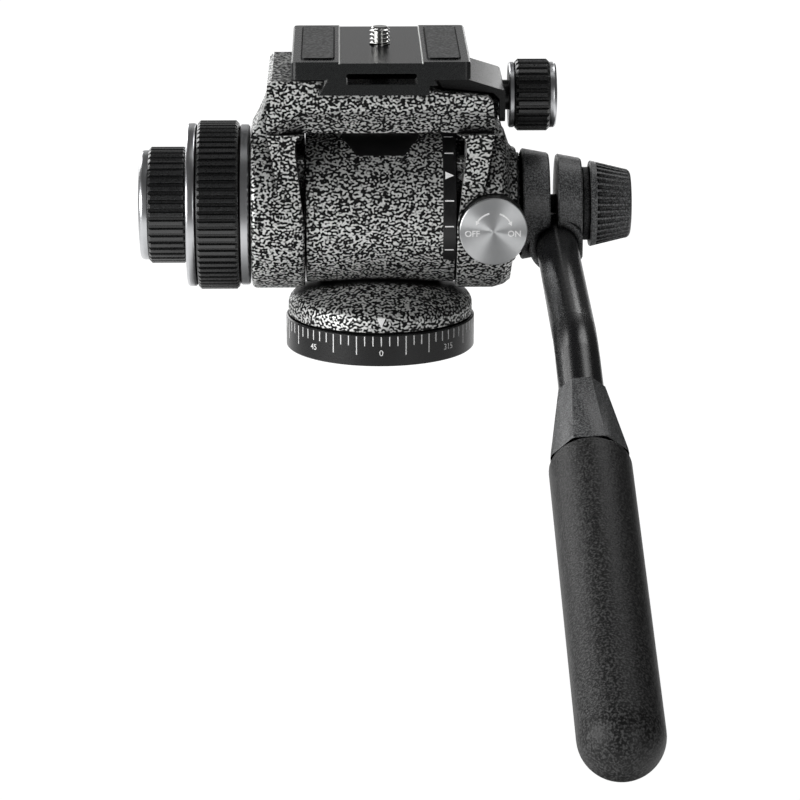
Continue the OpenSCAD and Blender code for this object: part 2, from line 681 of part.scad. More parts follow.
// The cradle that tilts: two round cheeks under one slab with the fixed jaw.
module tilt_cradle() color(paint) {
    difference() {
        union() {
            along_y(slab_l) polygon([[-slab_w / 2 - 0.4, slab_z], [-slab_w / 2, slab_top - 1.4],
                [-slab_w / 2 + 1.4, slab_top],
                [-neck_w / 2 - flank * (flange_z - slab_top) - jaw_gap, slab_top],
                [-neck_w / 2 - flank * (flange_z - floor_z) - jaw_gap, floor_z],
                [neck_w / 2 - 0.2, floor_z], [neck_w / 2 + 1.6, ledge_z],
                [slab_w / 2 - 1.8, ledge_z - ledge_fall], [slab_w / 2 - 0.4, ledge_z - ledge_fall - 1.6],
                [slab_w / 2 + 0.4, slab_z], [cheek_in + 3, slab_z], [cheek_in + 2.4, slab_z - brow_low],
                [-cheek_in - 2.4, slab_z - brow_low], [-cheek_in - 3, slab_z]]);
            along_y(2 * (cheek_r - 1.2)) polygon(wall(1));
            along_y(2 * (cheek_r - 1.2)) polygon(wall(-1));
            left() soft_ring(0, cheek_r, cheek_in, cheek_out, 1.5);
            right() rotate_extrude()
                polygon([[0, cheek_in], [cheek_r - 0.5, cheek_in], [cheek_r, cheek_in + 0.5],
                    [cheek_r, cheek_out - 5], [cheek_r - 0.6, cheek_out - 2.8],
                    [cheek_r - 2.4, cheek_out - 1.4],
                    [cheek_r - 6.6, cheek_out], [0, cheek_out]]);
            intersection() {
                right() rotate_extrude()
                    polygon([[boss_d / 2 + 1.25, cheek_out - 4], [cheek_r - 0.3, cheek_out - 4],
                        [cheek_r - 1, cheek_out - 1.5], [cheek_r - 2.6, cheek_out + 0.5],
                        [boss_d / 2 + 1.25, cheek_out + 1.2]]);
                translate([0, -cheek_d, 0]) cube([slab_w, 2 * cheek_d, axis_z - 7]);
            }
            along_y(jaw_l - 10) polygon([[slab_w / 2 - 2, slab_z + 0.5], [leg_x - 0.3, leg_low],
                [leg_x - 0.3, jaw_low - ledge_fall - 3], [slab_w / 2 - 2, jaw_low - ledge_fall - 3]]);
            along_y(26) mirror([1, 0]) polygon(flare(slab_z + 11, slab_w / 2 - 0.2, cheek_out, 1.5));
            along_y(22) polygon(flare(leg_low - 1.2, slab_w / 2 + 0.2, cheek_out - 2, 1.5));
        }
        // room for the drum, the window above it and the sloped brow
        right() translate([0, 0, -cheek_in]) cylinder(r = drum_r + 0.7, h = 2 * cheek_in);
        for (m = [0, 1]) mirror([0, m, 0]) {
            brow();
            intersection() {
                along_y(3 * slab_l) polygon(window());
                union() {
                    translate([-slab_w, -2 * cheek_r, 0])
                        cube([2 * slab_w, 2 * cheek_r - pack_r - 1, 2 * axis_z]);
                    translate([-slab_w, -2 * cheek_r, axis_z + pack_r + 1])
                        cube([2 * slab_w, 2 * cheek_r - 4, axis_z]);
                }
            }
        }
        // left cheek: friction pack, trunnion and push pins
        left() translate([0, 0, cheek_in - 1]) cylinder(r = pack_r, h = wall_x - cheek_in + 1);
        left() translate([0, 0, wall_x - 1]) cylinder(r = trunnion_r, h = 20);
        left() pin_places() translate([0, 0, wall_x - 1]) cylinder(r = 1.5 + fit, h = 20, $fn = 32);
        // right cheek: sleeve, clutch and cover
        right() translate([0, 0, cheek_in - 1]) cylinder(r = sleeve_r + run_gap, h = 20);
        right() translate([0, 0, hub_x0 - run_gap]) cylinder(r = clutch_r, h = 20);
        // the selector's recess, stem and pin
        selector_place() translate([0, 0, recess_y]) cylinder(r = selector_r + run_gap, h = 20);
        selector_place() translate([0, 0, stem_sel_y - 0.3]) cylinder(r = stem_sel_r + fit, h = 20);
        selector_place() translate([0, 0, hub_r - 2]) cylinder(r = pin_r + fit, h = 20, $fn = 48);
        // the plate clamp's stud and guide pins
        translate([slab_w / 2 - stud_depth, 0, lock_z]) rotate([0, 90, 0])
            cylinder(r = stud_d / 2, h = 40);
        jaw_pin_places() translate([-12, 0, 0]) rotate([0, 90, 0]) cylinder(r = 1.5 + fit, h = 40, $fn = 32);
    }
}

// The sloped cut under the slab's front edge, with a slanting crease at its left end, and the groove below it.
module brow() {
    ax = atan2(brow_d, brow_h);
    kx = brow_d / brow_run;
    kz = brow_d / brow_h;
    intersection() {
        translate([-slab_w, -2 * slab_l, slab_z - brow_low - eps]) cube([2 * slab_w, 2 * slab_l, brow_h + 5]);
        translate([-slab_w, -slab_l / 2, slab_z + brow_h]) rotate([ax, 0, 0])
            translate([0, -far, -far]) cube([2 * slab_w, far, 2 * far]);
        brow_end(kx, kz);
    }
    translate([-slab_w, -slab_l, slab_z - groove_h]) cube([2 * slab_w, slab_l / 2 + groove_d, groove_h + 0.2]);
}

// The half space in front of the slanting face at the left end of the brow.
module brow_end(kx, kz) {
    translate([-slab_w / 2 - 1, -slab_l / 2, slab_z])
        rotate([asin(kz / sqrt(1 + kx * kx + kz * kz)), 0, atan(kx)])
            translate([-2 * slab_w, -far, -far]) cube([4 * slab_w, far, 2 * far]);
}

// The X-Z outline of the window in front of the drum, wider above.
function window() = let (w = cheek_in + 2.8, z1 = slab_z - brow_low, q = 3)
    concat([[-cheek_in, axis_z - 2], [cheek_in, axis_z - 2], [w, z1 - 6]],
        [for (a = [0:30:90]) [w - q + q * cos(a), z1 - q + q * sin(a)]],
        [for (a = [90:30:180]) [-w + q + q * cos(a), z1 - q + q * sin(a)]],
        [[-w, z1 - 6]]);

// Three places of the push pins around the left trunnion.
module pin_places() {
    for (a = [0, 120, 240])
        rotate([0, 0, a]) translate([(spigot_r + pack_r) / 2, 0, 0]) children();
}

// The selector's axis: local Z points to -Y and starts above the tilt axis.
module selector_place() {
    translate([selector_x, 0, selector_z]) rotate([90, 0, 0]) children();
}

// Two places of the jaw's guide pins at the slab's right side.
module jaw_pin_places() {
    for (s = [-1, 1]) translate([slab_w / 2, s * jaw_l * 0.32, lock_z]) children();
}

// The hollow left trunnion, which carries the cradle and the left knobs.
module left_trunnion() color(steel) {
    left() difference() {
        ring(0, trunnion_r, core_x - 0.5, drag_x4 - 0.4);
        translate([0, 0, core_x - 1]) cylinder(r = rod_r + fit, h = drag_x4);
        translate([0, 0, stem_x - 2]) cylinder(r = stem_r + fit, h = drag_x4);
    }
}

// The right trunnion, with the thread of the bar bolt.
module right_trunnion() color(steel) {
    right() difference() {
        ring(0, trunnion_r, core_x + 0.5, boss_x);
        translate([0, 0, cheek_in + 8]) cylinder(r = bolt_d / 2 + fit, h = 40);
    }
}

// The counterbalance hub: a sleeve in the drum and a flange that the clutch pin enters.
module counterbalance_hub() color(silver) {
    difference() {
        right() rotate_extrude()
            polygon([[trunnion_r, core_x + 0.5], [sleeve_r, core_x + 0.5], [sleeve_r, hub_x0],
                [hub_r, hub_x0], [hub_r, hub_x1], [trunnion_r, hub_x1]]);
        selector_place() translate([0, 0, trunnion_r + 1]) cylinder(r = pin_r + 0.1, h = 20, $fn = 48);
    }
}

// The painted cover that closes the right cheek and carries the bar.
module counterbalance_cover() color(paint) {
    right() rotate_extrude()
        polygon(concat([[trunnion_r, hub_x1 + 0.2], [clutch_r, hub_x1 + 0.2], [clutch_r, cheek_out],
            [boss_d / 2 + 1.2, cheek_out]],
            [for (a = [0:15:90]) [boss_d / 2 - 1.5 + 1.5 * cos(a), boss_x - 1.5 + 1.5 * sin(a)]],
            [[trunnion_r, boss_x]], []));
}

// The toothed ring on that cover.
module rosette_head() color(black) {
    right() rosette(boss_x, 1);
}

// A ring with radial teeth: teeth point along local Z for s = 1.
module rosette(z, s) {
    r1 = boss_d / 2 - 2;
    tip = rosette_t + tooth_h - 0.1;
    intersection() {
        union() {
            ring(trunnion_r + 1, r1, min(z, z + s * rosette_t), max(z, z + s * rosette_t));
            for (i = [0:tooth_n - 1])
                rotate([0, 0, (i + (s > 0 ? 0 : 0.5)) * 360 / tooth_n])
                    translate([trunnion_r + 1.5, 0, z + s * (rosette_t - 0.2)]) rotate([45, 0, 0])
                        translate([0, -(tooth_h + 0.2) / sqrt(2), -(tooth_h + 0.2) / sqrt(2)])
                            cube([r1, (tooth_h + 0.2) * sqrt(2), (tooth_h + 0.2) * sqrt(2)]);
        }
        ring(trunnion_r + 1, r1, min(z, z + s * tip), max(z, z + s * tip));
    }
}

// The stud of the plate clamp, fixed in the slab.
module lock_stud() color(steel) {
    translate([slab_w / 2 - stud_depth, 0, lock_z]) rotate([0, 90, 0])
        ring(0, stud_d / 2, 0, stud_x1 - slab_w / 2 + stud_depth, 0.4);
}

// The plate that presses the friction pack.
module pressure_plate() color(steel) {
    left() ring(spigot_r + 0.4, pack_r - 0.4, wall_x - press_t - 0.2, wall_x - 0.2);
}

// Three pins that reach from the drag ring to the pressure plate.
module push_pins() color(steel) {
    left() pin_places()
        translate([0, 0, wall_x - 0.2]) cylinder(r = 1.5, h = drag_x0 - 0.15 - wall_x + 0.2, $fn = 32);
}

// The core of the tilt drag ring, threaded on the left trunnion.
module drag_hub() color(black) {
    left() rotate_extrude()
        polygon([[trunnion_r + fit, drag_x0], [drag_core_r, drag_x0], [drag_core_r, drag_x3],
            [drag_core_r - 3, drag_x3], [drag_core_r - 3, drag_x0 + 6], [trunnion_r + 3, drag_x0 + 6],
            [trunnion_r + 3, drag_x3], [trunnion_r + fit, drag_x3]]);
}

// The ribbed sleeve of the tilt drag ring.
module drag_grip() color(rubber) {
    left() ribbed(68, drag_d / 2, drag_core_r, drag_x1, drag_x2, 0.7, 0.9);
}

// The bright ring beside the cheek.
module drag_trim_inner() color(silver) {
    left() ring(drag_core_r, drag_d / 2 - 1.3, drag_x0, drag_x0 + trim_w, 0.5);
}

// The bright end plate of the tilt drag ring.
module drag_trim_outer() color(silver) {
    left() soft_ring(trunnion_r + fit, drag_d / 2 - 0.9, drag_x3, drag_x4, 0.9);
}

// The core and screw stem of the pan lock knob.
module pan_knob_hub() color(black) {
    left() rotate_extrude()
        polygon([[0, stem_x], [stem_r, stem_x], [stem_r, pan_x0], [pan_core_r, pan_x0], [pan_core_r, pan_x1],
            [0, pan_x1]]);
}

// The ribbed sleeve of the pan lock knob.
module pan_knob_grip() color(rubber) {
    left() ribbed(42, pan_knob_d / 2, pan_core_r, pan_x0, pan_x1 - 0.2, 0.7, 0.8);
}

// The domed bright cap of the pan lock knob.
module pan_knob_cap() color(silver) {
    r = pan_knob_d / 2 - 1.1;
    left() rotate_extrude()
        polygon(concat([[0, pan_x1], [r, pan_x1]],
            [for (a = [0:15:75]) [r - 1.4 + 1.4 * cos(a), pan_x2 - 2.2 + 1.4 * sin(a)]],
            [for (t = [0.25:0.25:1])
                [(r - 1.04) * (1 - t), pan_x2 - 0.85 + 0.85 * (1 - (1 - t) * (1 - t))]]));
}

// The moving jaw: a sloped roof over the slab and a leg at its right side.
module clamp_jaw() color(black) {
    difference() {
        along_y(jaw_l) polygon([[neck_w / 2 + jaw_gap, jaw_top],
            [neck_w / 2 + jaw_gap + flank * (jaw_top - jaw_low), jaw_low],
            [leg_x - 1.9, jaw_low - ledge_fall], [leg_x, jaw_low - ledge_fall - 2], [leg_x, leg_low],
            [lock_x, leg_low], [lock_x, jaw_end - 0.5], [lock_x - 0.5, jaw_end], [jaw_bend_x, jaw_top]]);
        translate([leg_x - 1, 0, lock_z]) rotate([0, 90, 0]) cylinder(r = stud_d / 2 + 0.2, h = 5);
        jaw_pin_places() rotate([0, 90, 0]) cylinder(r = 1.5, h = 10, $fn = 32);
        // the leg's lower corners
        for (s = [-1, 1]) translate([leg_x - 1, s * jaw_l / 2, leg_low]) rotate([45, 0, 0])
            translate([0, -1, -1]) cube([5, 2, 2]);
    }
}

// Two guide pins pressed into the jaw's leg.
module jaw_pins() color(steel) {
    jaw_pin_places() translate([-10, 0, 0]) rotate([0, 90, 0])
        cylinder(r = 1.5, h = lock_x - slab_w / 2 + 10, $fn = 32);
}

// The lock knob's axis: local Z points to +X and starts at the jaw's leg.
module lock_place() {
    translate([lock_x, 0, lock_z]) rotate([0, 90, 0]) children();
}

lock_a = lock_bush_l;
lock_b = lock_a + lock_ring_l;
lock_c = lock_b + lock_l;
lock_core_r = lock_d / 2 - 2;

// The threaded core of the lock knob.
module lock_knob_core() color(black) {
    lock_place() difference() {
        union() {
            ring(0, 4.7, 0, lock_a + 1);
            ring(0, lock_core_r, lock_a, lock_c);
        }
        translate([0, 0, -1]) cylinder(r = stud_d / 2 + fit, h = lock_c + 0.6);
    }
}

// The bright ring of the lock knob.
module lock_knob_ring() color(silver) {
    lock_place() ring(lock_core_r, lock_d / 2 - 1, lock_a, lock_b, 0.4);
}

// The ribbed sleeve of the lock knob.
module lock_knob_grip() color(rubber) {
    lock_place() ribbed(26, lock_d / 2, lock_core_r, lock_b + 0.1, lock_c - 0.1, 0.7, 0.9);
}

// The domed bright cap of the lock knob.
module lock_knob_cap() color(silver) {
    r = lock_d / 2 - 1;
    lock_place() rotate_extrude()
        polygon(concat([[0, lock_c], [r, lock_c]],
            [for (a = [0:15:75]) [r - 1.1 + 1.1 * cos(a), lock_c + lock_cap_l - 1.6 + 1.1 * sin(a)]],
            [for (t = [0.25:0.25:1])
                [(r - 0.82) * (1 - t), lock_c + lock_cap_l - 0.54 + 0.54 * (1 - (1 - t) * (1 - t))]]));
}

// The camera plate: flange, dovetail, the channel between the pads and the front slot.
module camera_plate() color(black) {
    difference() {
        intersection() {
            along_y(plate_l) polygon([[-plate_w / 2, flange_z], [-plate_w / 2, plate_top - 0.5],
                [-plate_w / 2 + 0.5, plate_top], [plate_w / 2 - 0.5, plate_top],
                [plate_w / 2, plate_top - 0.5], [plate_w / 2, flange_z], [neck_w / 2, flange_z],
                [neck_w / 2 + flank * (flange_z - lip_z), lip_z],
                [rebate_x, lip_z], [rebate_x, plate_z], [-dovetail_w / 2, plate_z], [-neck_w / 2, flange_z]]);
            translate([0, 0, plate_z - 1]) linear_extrude(height = plate_top - plate_z + 2)
                polygon(plan(-plate_w / 2, plate_w / 2, -plate_l / 2, plate_l / 2, 1.8));
        }
        translate([-channel_w / 2, -plate_l, plate_top - channel_h]) cube([channel_w, 2 * plate_l, 2]);
        for (s = [-1, 1]) pad_place(s) pad(0);
        along_y(plate_l + 2) translate([0.2, flange_z + 0.25]) intersection() {
            polygon(plan(-10.9, 10.9, -1.65, 1.65, 0.9));
            square([30, 10], center = true);
        }
        translate([0, 0, plate_z - 1]) cylinder(r = pocket_d / 2, h = pocket_h + 1);
        translate([0, 0, plate_z - 1]) cylinder(r = camera_screw_d / 2 + 0.2, h = 40);
    }
}

// The place of one pad on the plate.
module pad_place(s) {
    translate([s * (pad_x + pad_w / 2), 0, plate_top - 0.8]) children();
}

// One rubber pad that stands h above its recess.
module pad(h) {
    linear_extrude(height = 0.8 + (h > 0 ? h : 5))
        polygon(plan(-pad_w / 2, pad_w / 2, -pad_l / 2, pad_l / 2, 2));
}

// The two rubber pads.
module plate_pads() color(rubber) {
    for (s = [-1, 1]) pad_place(s) pad(pad_proud);
}

// The captive camera screw: a slotted head under the plate, a relieved shank and the thread above.
module camera_screw() color(steel) {
    difference() {
        union() {
            translate([0, 0, plate_z + 0.4]) cylinder(r = pocket_d / 2 - 0.6, h = pocket_h - 0.8);
            translate([0, 0, plate_z + 1])
                cylinder(r = camera_screw_d / 2 - 0.6, h = plate_top - plate_z - 1);
            ring(0, camera_screw_d / 2, plate_top - channel_h, plate_top + camera_screw_l, 0.5);
        }
        translate([-pocket_d, -0.8, plate_z]) cube([2 * pocket_d, 1.6, 1.6]);
    }
}

// The balance selector's knob and stem.
module selector_knob() color(black) {
    selector_place() difference() {
        union() {
            ring(0, stem_sel_r, stem_sel_y, selector_y + 1);
            ring(0, selector_r, selector_y, selector_front, 0.3);
        }
        translate([0, 0, stem_sel_y - 1]) cylinder(r = pin_r + fit, h = pin_y1 - stem_sel_y + 1.6, $fn = 48);
    }
}

// The spun aluminium face of the selector.
module selector_face() color(silver) {
    selector_place() ring(0, selector_r, selector_front, selector_front + face_t, 0.25);
}

// The pin that couples the counterbalance hub to the cradle.
module clutch_pin() color(steel) {
    selector_place() translate([0, 0, pin_y0]) cylinder(r = pin_r, h = pin_y1 - pin_y0, $fn = 48);
}

// The bar's own frame: local -Y runs along the first part of the bar, at its axis.
module bar_place() {
    translate([bar_x, 0, axis_z]) rotate([bar_slope, 0, 0]) translate([0, 0, -bar_off]) children();
}

// The outer form of the bar clamp, between two stations of the tilt axis.
module clamp_form(x0, x1) {
    k = (clamp_d2 - clamp_d1) / 2 / clamp_l;
    difference() {
        union() {
            right() rotate_extrude()
                polygon([[0, x0], [clamp_d1 / 2 + k * (x0 - clamp_x0) - 0.5, x0],
                    [clamp_d1 / 2 + k * (x0 - clamp_x0), x0 + 0.5],
                    [clamp_d1 / 2 + k * (x1 - clamp_x0), x1 - 0.5],
                    [clamp_d1 / 2 + k * (x1 - clamp_x0) - 0.5, x1], [0, x1]]);
            intersection() {
                bar_place() rotate([90, 0, 0]) soft_ring(0, ring_r, -4, ring_y, 0.6);
                translate([x0, -far, 0]) cube([x1 - x0, 2 * far, 2 * far]);
            }
        }
        right() translate([0, 0, x0 - 1]) cylinder(r = bolt_d / 2 + 0.3, h = x1 - x0 + 2);
        bar_place() rotate([90, 0, 0]) translate([0, 0, -40]) cylinder(r = bar_r, h = 80);
    }
}

// The inner half of the bar clamp, with its toothed ring.
module bar_clamp_inner() color(black) {
    clamp_form(clamp_x0, slit_x);
    right() rosette(clamp_x0 + rosette_t, -1);
}

// The outer half of the bar clamp.
module bar_clamp_outer() color(black) {
    clamp_form(slit_x + clamp_slit, clamp_x1);
}

// The second part of the bar: local Z runs along it and starts at the bend's corner.
module grip_place() {
    translate([0, -bar_l1, 0]) rotate([0, -bar_roll, 0]) rotate([90 + bar_bend, 0, 0]) children();
}

// The bent tube of the pan bar. The bend is drawn in by a hair and sits in the ends of the straight parts.
module bar_tube() color(black) {
    y0 = clamp_d1 / 2 - 6;
    bar_place() {
        rotate([90, 0, 0]) ring(bar_r - bar_wall, bar_r, -y0, bar_l1 - bend_t + bend_lap);
        translate([0, -bar_l1 + bend_t, 0]) rotate([0, -bar_roll, 0]) translate([0, 0, -bend_r])
            rotate([0, -90, 0]) rotate([0, 0, -bar_bend]) rotate_extrude(angle = bar_bend)
                translate([bend_r, 0]) difference() {
                    circle(r = bar_r - bend_in);
                    circle(r = bar_r - bar_wall + bend_in);
                }
        grip_place() ring(bar_r - bar_wall, bar_r, bend_t - bend_lap, bar_l2 - grip_d / 2 - 4);
    }
}

// The eight-sided collar that widens from the tube to the grip.
module bar_collar() color(black) {
    bar_place() grip_place() difference() {
        intersection() {
            translate([0, 0, grip_s - collar_l]) rotate([0, 0, 22.5])
                cylinder(r1 = (bar_r + 0.2) / cos(22.5), r2 = (grip_d / 2 - 0.7) / cos(22.5),
                    h = collar_l, $fn = 8);
            cylinder(r = grip_d / 2, h = bar_l2);
        }
        translate([0, 0, bend_t]) cylinder(r = bar_r, h = bar_l2);
    }
}

// The grip with its round end.
module bar_grip() color(rubber) {
    r = grip_d / 2;
    bar_place() grip_place() difference() {
        union() {
            soft_ring(0, r, grip_s, bar_l2 - r + 1.8, 1.8);
            translate([0, 0, bar_l2 - r]) sphere(r = r);
        }
        translate([0, 0, grip_s - 1]) cylinder(r = bar_r, h = grip_l - r - 3);
    }
}

// The bar knob with its bolt and washer: a cone with a plain rim, fluted up to its rounded outer end.
module bar_knob() color(black) {
    r1 = bar_knob_d / 2;
    x1 = bar_knob_x + bar_knob_l;
    r2 = r1 - knob_taper * bar_knob_l;
    right() {
        ring(0, bolt_d / 2, cheek_in + 8.5, bar_knob_x + 2);
        ring(0, r1 - 2, washer_x, bar_knob_x + 0.1, 0.3);
        difference() {
            rotate_extrude()
                polygon(concat([[0, bar_knob_x], [r1 - 0.4, bar_knob_x], [r1, bar_knob_x + 0.4]],
                    [for (a = [0:15:90])
                        [r2 + knob_round * (cos(a) - 1), x1 + knob_round * (sin(a) - 1)]],
                    [[0, x1]]));
            for (i = [0:flute_n - 1])
                rotate([0, 0, (i + 0.5) * 360 / flute_n])
                    translate([r1 - knob_taper * knob_rim + flute_out, 0, bar_knob_x + knob_rim])
                        rotate([0, -atan(knob_taper), 0]) cylinder(r = flute_r, h = bar_knob_l + 3, $fn = 24);
        }
    }
}

base_dial();
pan_spindle();
base_screws();
pan_thrust_washer();
disc_springs();
spindle_nut();
brake_disc();
pan_damper_lower();
pan_housing();
pan_seal();
pan_bush();
pan_damper_upper();
tilt_scale();
access_cap();
drum_cap_left();
drum_cap_right();
tilt_bush_left();
tilt_bush_right();
tilt_damper_stator();
friction_discs_fibre();
counterbalance_spring();
brake_bridge();
brake_plunger();
tilt_cradle();
left_trunnion();
right_trunnion();
tilt_damper_rotor();
friction_discs_steel();
counterbalance_hub();
counterbalance_cover();
rosette_head();
lock_stud();
pressure_plate();
push_pins();
brake_rod();
drag_hub();
drag_grip();
drag_trim_inner();
drag_trim_outer();
pan_knob_hub();
pan_knob_grip();
pan_knob_cap();
clamp_jaw();
jaw_pins();
lock_knob_core();
lock_knob_ring();
lock_knob_grip();
lock_knob_cap();
camera_plate();
plate_pads();
camera_screw();
selector_knob();
selector_face();
clutch_pin();
bar_clamp_inner();
bar_clamp_outer();
bar_tube();
bar_collar();
bar_grip();
bar_knob();
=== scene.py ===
import math

import bpy
import numpy as np
from mathutils import Matrix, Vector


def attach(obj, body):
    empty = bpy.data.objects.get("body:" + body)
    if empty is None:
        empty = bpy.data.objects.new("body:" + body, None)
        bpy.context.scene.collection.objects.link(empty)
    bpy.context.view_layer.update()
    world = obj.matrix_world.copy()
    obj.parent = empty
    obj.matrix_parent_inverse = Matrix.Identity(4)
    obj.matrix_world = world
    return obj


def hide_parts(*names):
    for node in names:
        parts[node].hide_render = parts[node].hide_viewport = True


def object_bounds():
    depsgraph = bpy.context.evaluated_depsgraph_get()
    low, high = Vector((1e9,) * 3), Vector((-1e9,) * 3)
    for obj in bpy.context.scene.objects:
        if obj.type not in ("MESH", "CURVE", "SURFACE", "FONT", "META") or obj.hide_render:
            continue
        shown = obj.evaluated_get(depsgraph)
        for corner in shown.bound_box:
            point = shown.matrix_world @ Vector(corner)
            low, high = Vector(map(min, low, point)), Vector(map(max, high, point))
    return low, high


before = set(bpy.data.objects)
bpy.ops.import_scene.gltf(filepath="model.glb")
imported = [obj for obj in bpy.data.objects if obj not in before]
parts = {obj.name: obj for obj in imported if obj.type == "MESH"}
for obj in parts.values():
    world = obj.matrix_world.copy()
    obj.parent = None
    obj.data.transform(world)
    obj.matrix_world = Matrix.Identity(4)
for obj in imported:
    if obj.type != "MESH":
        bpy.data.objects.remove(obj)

cad_box = [list(corner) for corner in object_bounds()]


# Base dial: a turned aluminium ring that stays on the tripod while the head pans over it.
# It is black anodised, and its graduations and figures are screen printed in white.
# The spindle with the tripod thread is screwed into it from below.

dial_r = 30.0
tick_half, tick_top, tick_low, tall_tick_low = 0.16, 9.55, 6.5, 3.6
figure_height, figure_z = 1.9, 4.3
ink_mm = 0.03  # a print stands this far above the surface and reaches as far below it


def linear(code):
    """Turns an sRGB hex colour into linear RGBA: c/12.92 below 0.04045, else ((c+0.055)/1.055)^2.4."""
    c = np.array([int(code[i:i + 2], 16) for i in (1, 3, 5)]) / 255
    return (*np.where(c <= 0.04045, c / 12.92, ((c + 0.055) / 1.055) ** 2.4), 1.0)


def add(tree, kind, inputs=None, **settings):
    """Adds one node, sets its properties, and fills its inputs: a socket is linked, a value is set."""
    made = tree.nodes.new(kind)
    for key, value in settings.items():
        setattr(made, key, value)
    for key, value in (inputs or {}).items():
        if isinstance(value, bpy.types.NodeSocket):
            tree.links.new(value, made.inputs[key])
        else:
            made.inputs[key].default_value = value
    return made


def finish(name, **sockets):
    """Starts a material with one Principled shader and sets its constant sockets.
    Gives material, tree and shader."""
    material = bpy.data.materials.new(name)
    material.use_nodes = True
    tree = material.node_tree
    shader = tree.nodes["Principled BSDF"]
    for key, value in sockets.items():
        shader.inputs[key.replace("_", " ")].default_value = value
    return material, tree, shader


colour_a, colour_b, colour_out = 6, 7, 2  # the sockets of a Mix node that mixes colours


def grain(tree, shader, grain_mm, dark, light, rough, bump_mm, detail=2.0, low=0.35, high=0.65,
          edge_mm=0.0):
    """An even random grain: noise of cell grain_mm, drawn out from low to high, blends dark to light,
    swings the roughness and lifts a bump. Edges are shaded as if they were broken by edge_mm."""
    spot = add(tree, "ShaderNodeTexCoord").outputs["Object"]
    noise = add(tree, "ShaderNodeTexNoise",
                {"Vector": spot, "Scale": 1000 / grain_mm, "Detail": detail}).outputs["Fac"]
    spread = add(tree, "ShaderNodeMapRange", {"Value": noise, "From Min": low, "From Max": high})
    tone = add(tree, "ShaderNodeMix",
               {"Factor": spread.outputs["Result"], colour_a: linear(dark), colour_b: linear(light)},
               data_type="RGBA")
    rub = add(tree, "ShaderNodeMapRange",
              {"Value": noise, "From Min": low, "From Max": high, "To Min": rough[0], "To Max": rough[1]})
    lift = add(tree, "ShaderNodeBump", {"Height": noise, "Distance": bump_mm / 1000, "Strength": 1.0})
    if edge_mm:
        broken = add(tree, "ShaderNodeBevel", {"Radius": edge_mm / 1000}, samples=4)
        tree.links.new(broken.outputs["Normal"], lift.inputs["Normal"])
    tree.links.new(tone.outputs[colour_out], shader.inputs["Base Color"])
    tree.links.new(rub.outputs["Result"], shader.inputs["Roughness"])
    tree.links.new(lift.outputs["Normal"], shader.inputs["Normal"])


def shading_group(name, degrees, join_m=2e-6):
    """A modifier that joins the loose triangles and shades them smooth, but not over edges past the
    angle. The imported normals go first, because they belong to the loose triangles."""
    group = bpy.data.node_groups.new(name, "GeometryNodeTree")
    group.interface.new_socket("Geometry", in_out="INPUT", socket_type="NodeSocketGeometry")
    group.interface.new_socket("Geometry", in_out="OUTPUT", socket_type="NodeSocketGeometry")
    start = add(group, "NodeGroupInput").outputs[0]
    plain = add(group, "GeometryNodeRemoveAttribute", {"Geometry": start, "Name": "custom_normal"})
    joined = add(group, "GeometryNodeMergeByDistance", {"Geometry": plain.outputs[0], "Distance": join_m})
    smooth = add(group, "GeometryNodeSetShadeSmooth", {"Geometry": joined.outputs[0], "Shade Smooth": True})
    angle = add(group, "GeometryNodeInputMeshEdgeAngle")
    past = add(group, "FunctionNodeCompare",
               {0: angle.outputs["Unsigned Angle"], 1: math.radians(degrees)}, operation="GREATER_THAN")
    crisp = add(group, "GeometryNodeSetShadeSmooth",
                {"Geometry": smooth.outputs[0], "Selection": past.outputs[0], "Shade Smooth": False},
                domain="EDGE")
    add(group, "NodeGroupOutput", {0: crisp.outputs[0]})
    return group


crisp_edges = shading_group("crisp_edges", degrees=26)


def dress(material, *names):
    """Gives CAD nodes their material and the modifier that joins and shades them."""
    for name in names:
        made = parts[name]
        made.data.materials.clear()
        made.data.materials.append(material)
        made.modifiers.new("crisp_edges", "NODES").node_group = crisp_edges


# Black anodised aluminium, bead blasted before anodising: satin, with a faint sparkle of the blast.
anodised_black, tree, shader = finish("anodised_aluminium_black", IOR=1.5)
grain(tree, shader, 0.35, "#0A0A0B", "#121314", (0.26, 0.34), 0.004, edge_mm=0.15)
dress(anodised_black, "base_dial")

# White screen ink: matt, a little uneven where the screen left less ink.
ink, tree, shader = finish("screen_ink_white", IOR=1.48)
grain(tree, shader, 0.3, "#F0F0F0", "#FFFFFF", (0.5, 0.6), 0.002)


def prism(tops, bottoms):
    """Closes printed shapes: each outline has a top and a bottom face and a side for each edge.
    tops and bottoms are lists of (k, 3) arrays in mm that run counter-clockwise seen from outside."""
    points, faces, at = [], [], 0
    for top, bottom in zip(tops, bottoms):
        k = len(top)
        i = np.arange(k)
        points += [top, bottom]
        faces += [(at + i).tolist(), (at + k + i[::-1]).tolist()]
        faces += np.stack([at + i, at + k + i, at + k + (i + 1) % k, at + (i + 1) % k], 1).tolist()
        at += 2 * k
    return np.concatenate(points), faces


def place(name, points, faces, material, body, slot, smooth=False):
    """Makes a piece from points in mm and faces, gives it its material, and lets it ride on its body."""
    mesh = bpy.data.meshes.new(name)
    mesh.from_pydata((np.asarray(points) * 0.001).tolist(), [], faces)
    mesh.polygons.foreach_set("use_smooth", np.full(len(mesh.polygons), smooth))
    mesh.materials.append(material)
    mesh.update()
    made = bpy.data.objects.new(name, mesh)
    bpy.context.collection.objects.link(made)
    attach(made, body)
    return made


def around_dial(flat):
    """Wraps flat points (x along the rim, y height, z outwards) on the dial: angle = x/r from the front."""
    a = flat[:, 0] / dial_r
    q = dial_r + flat[:, 2]
    return np.stack([q * np.sin(a), -q * np.cos(a), flat[:, 1]], 1)


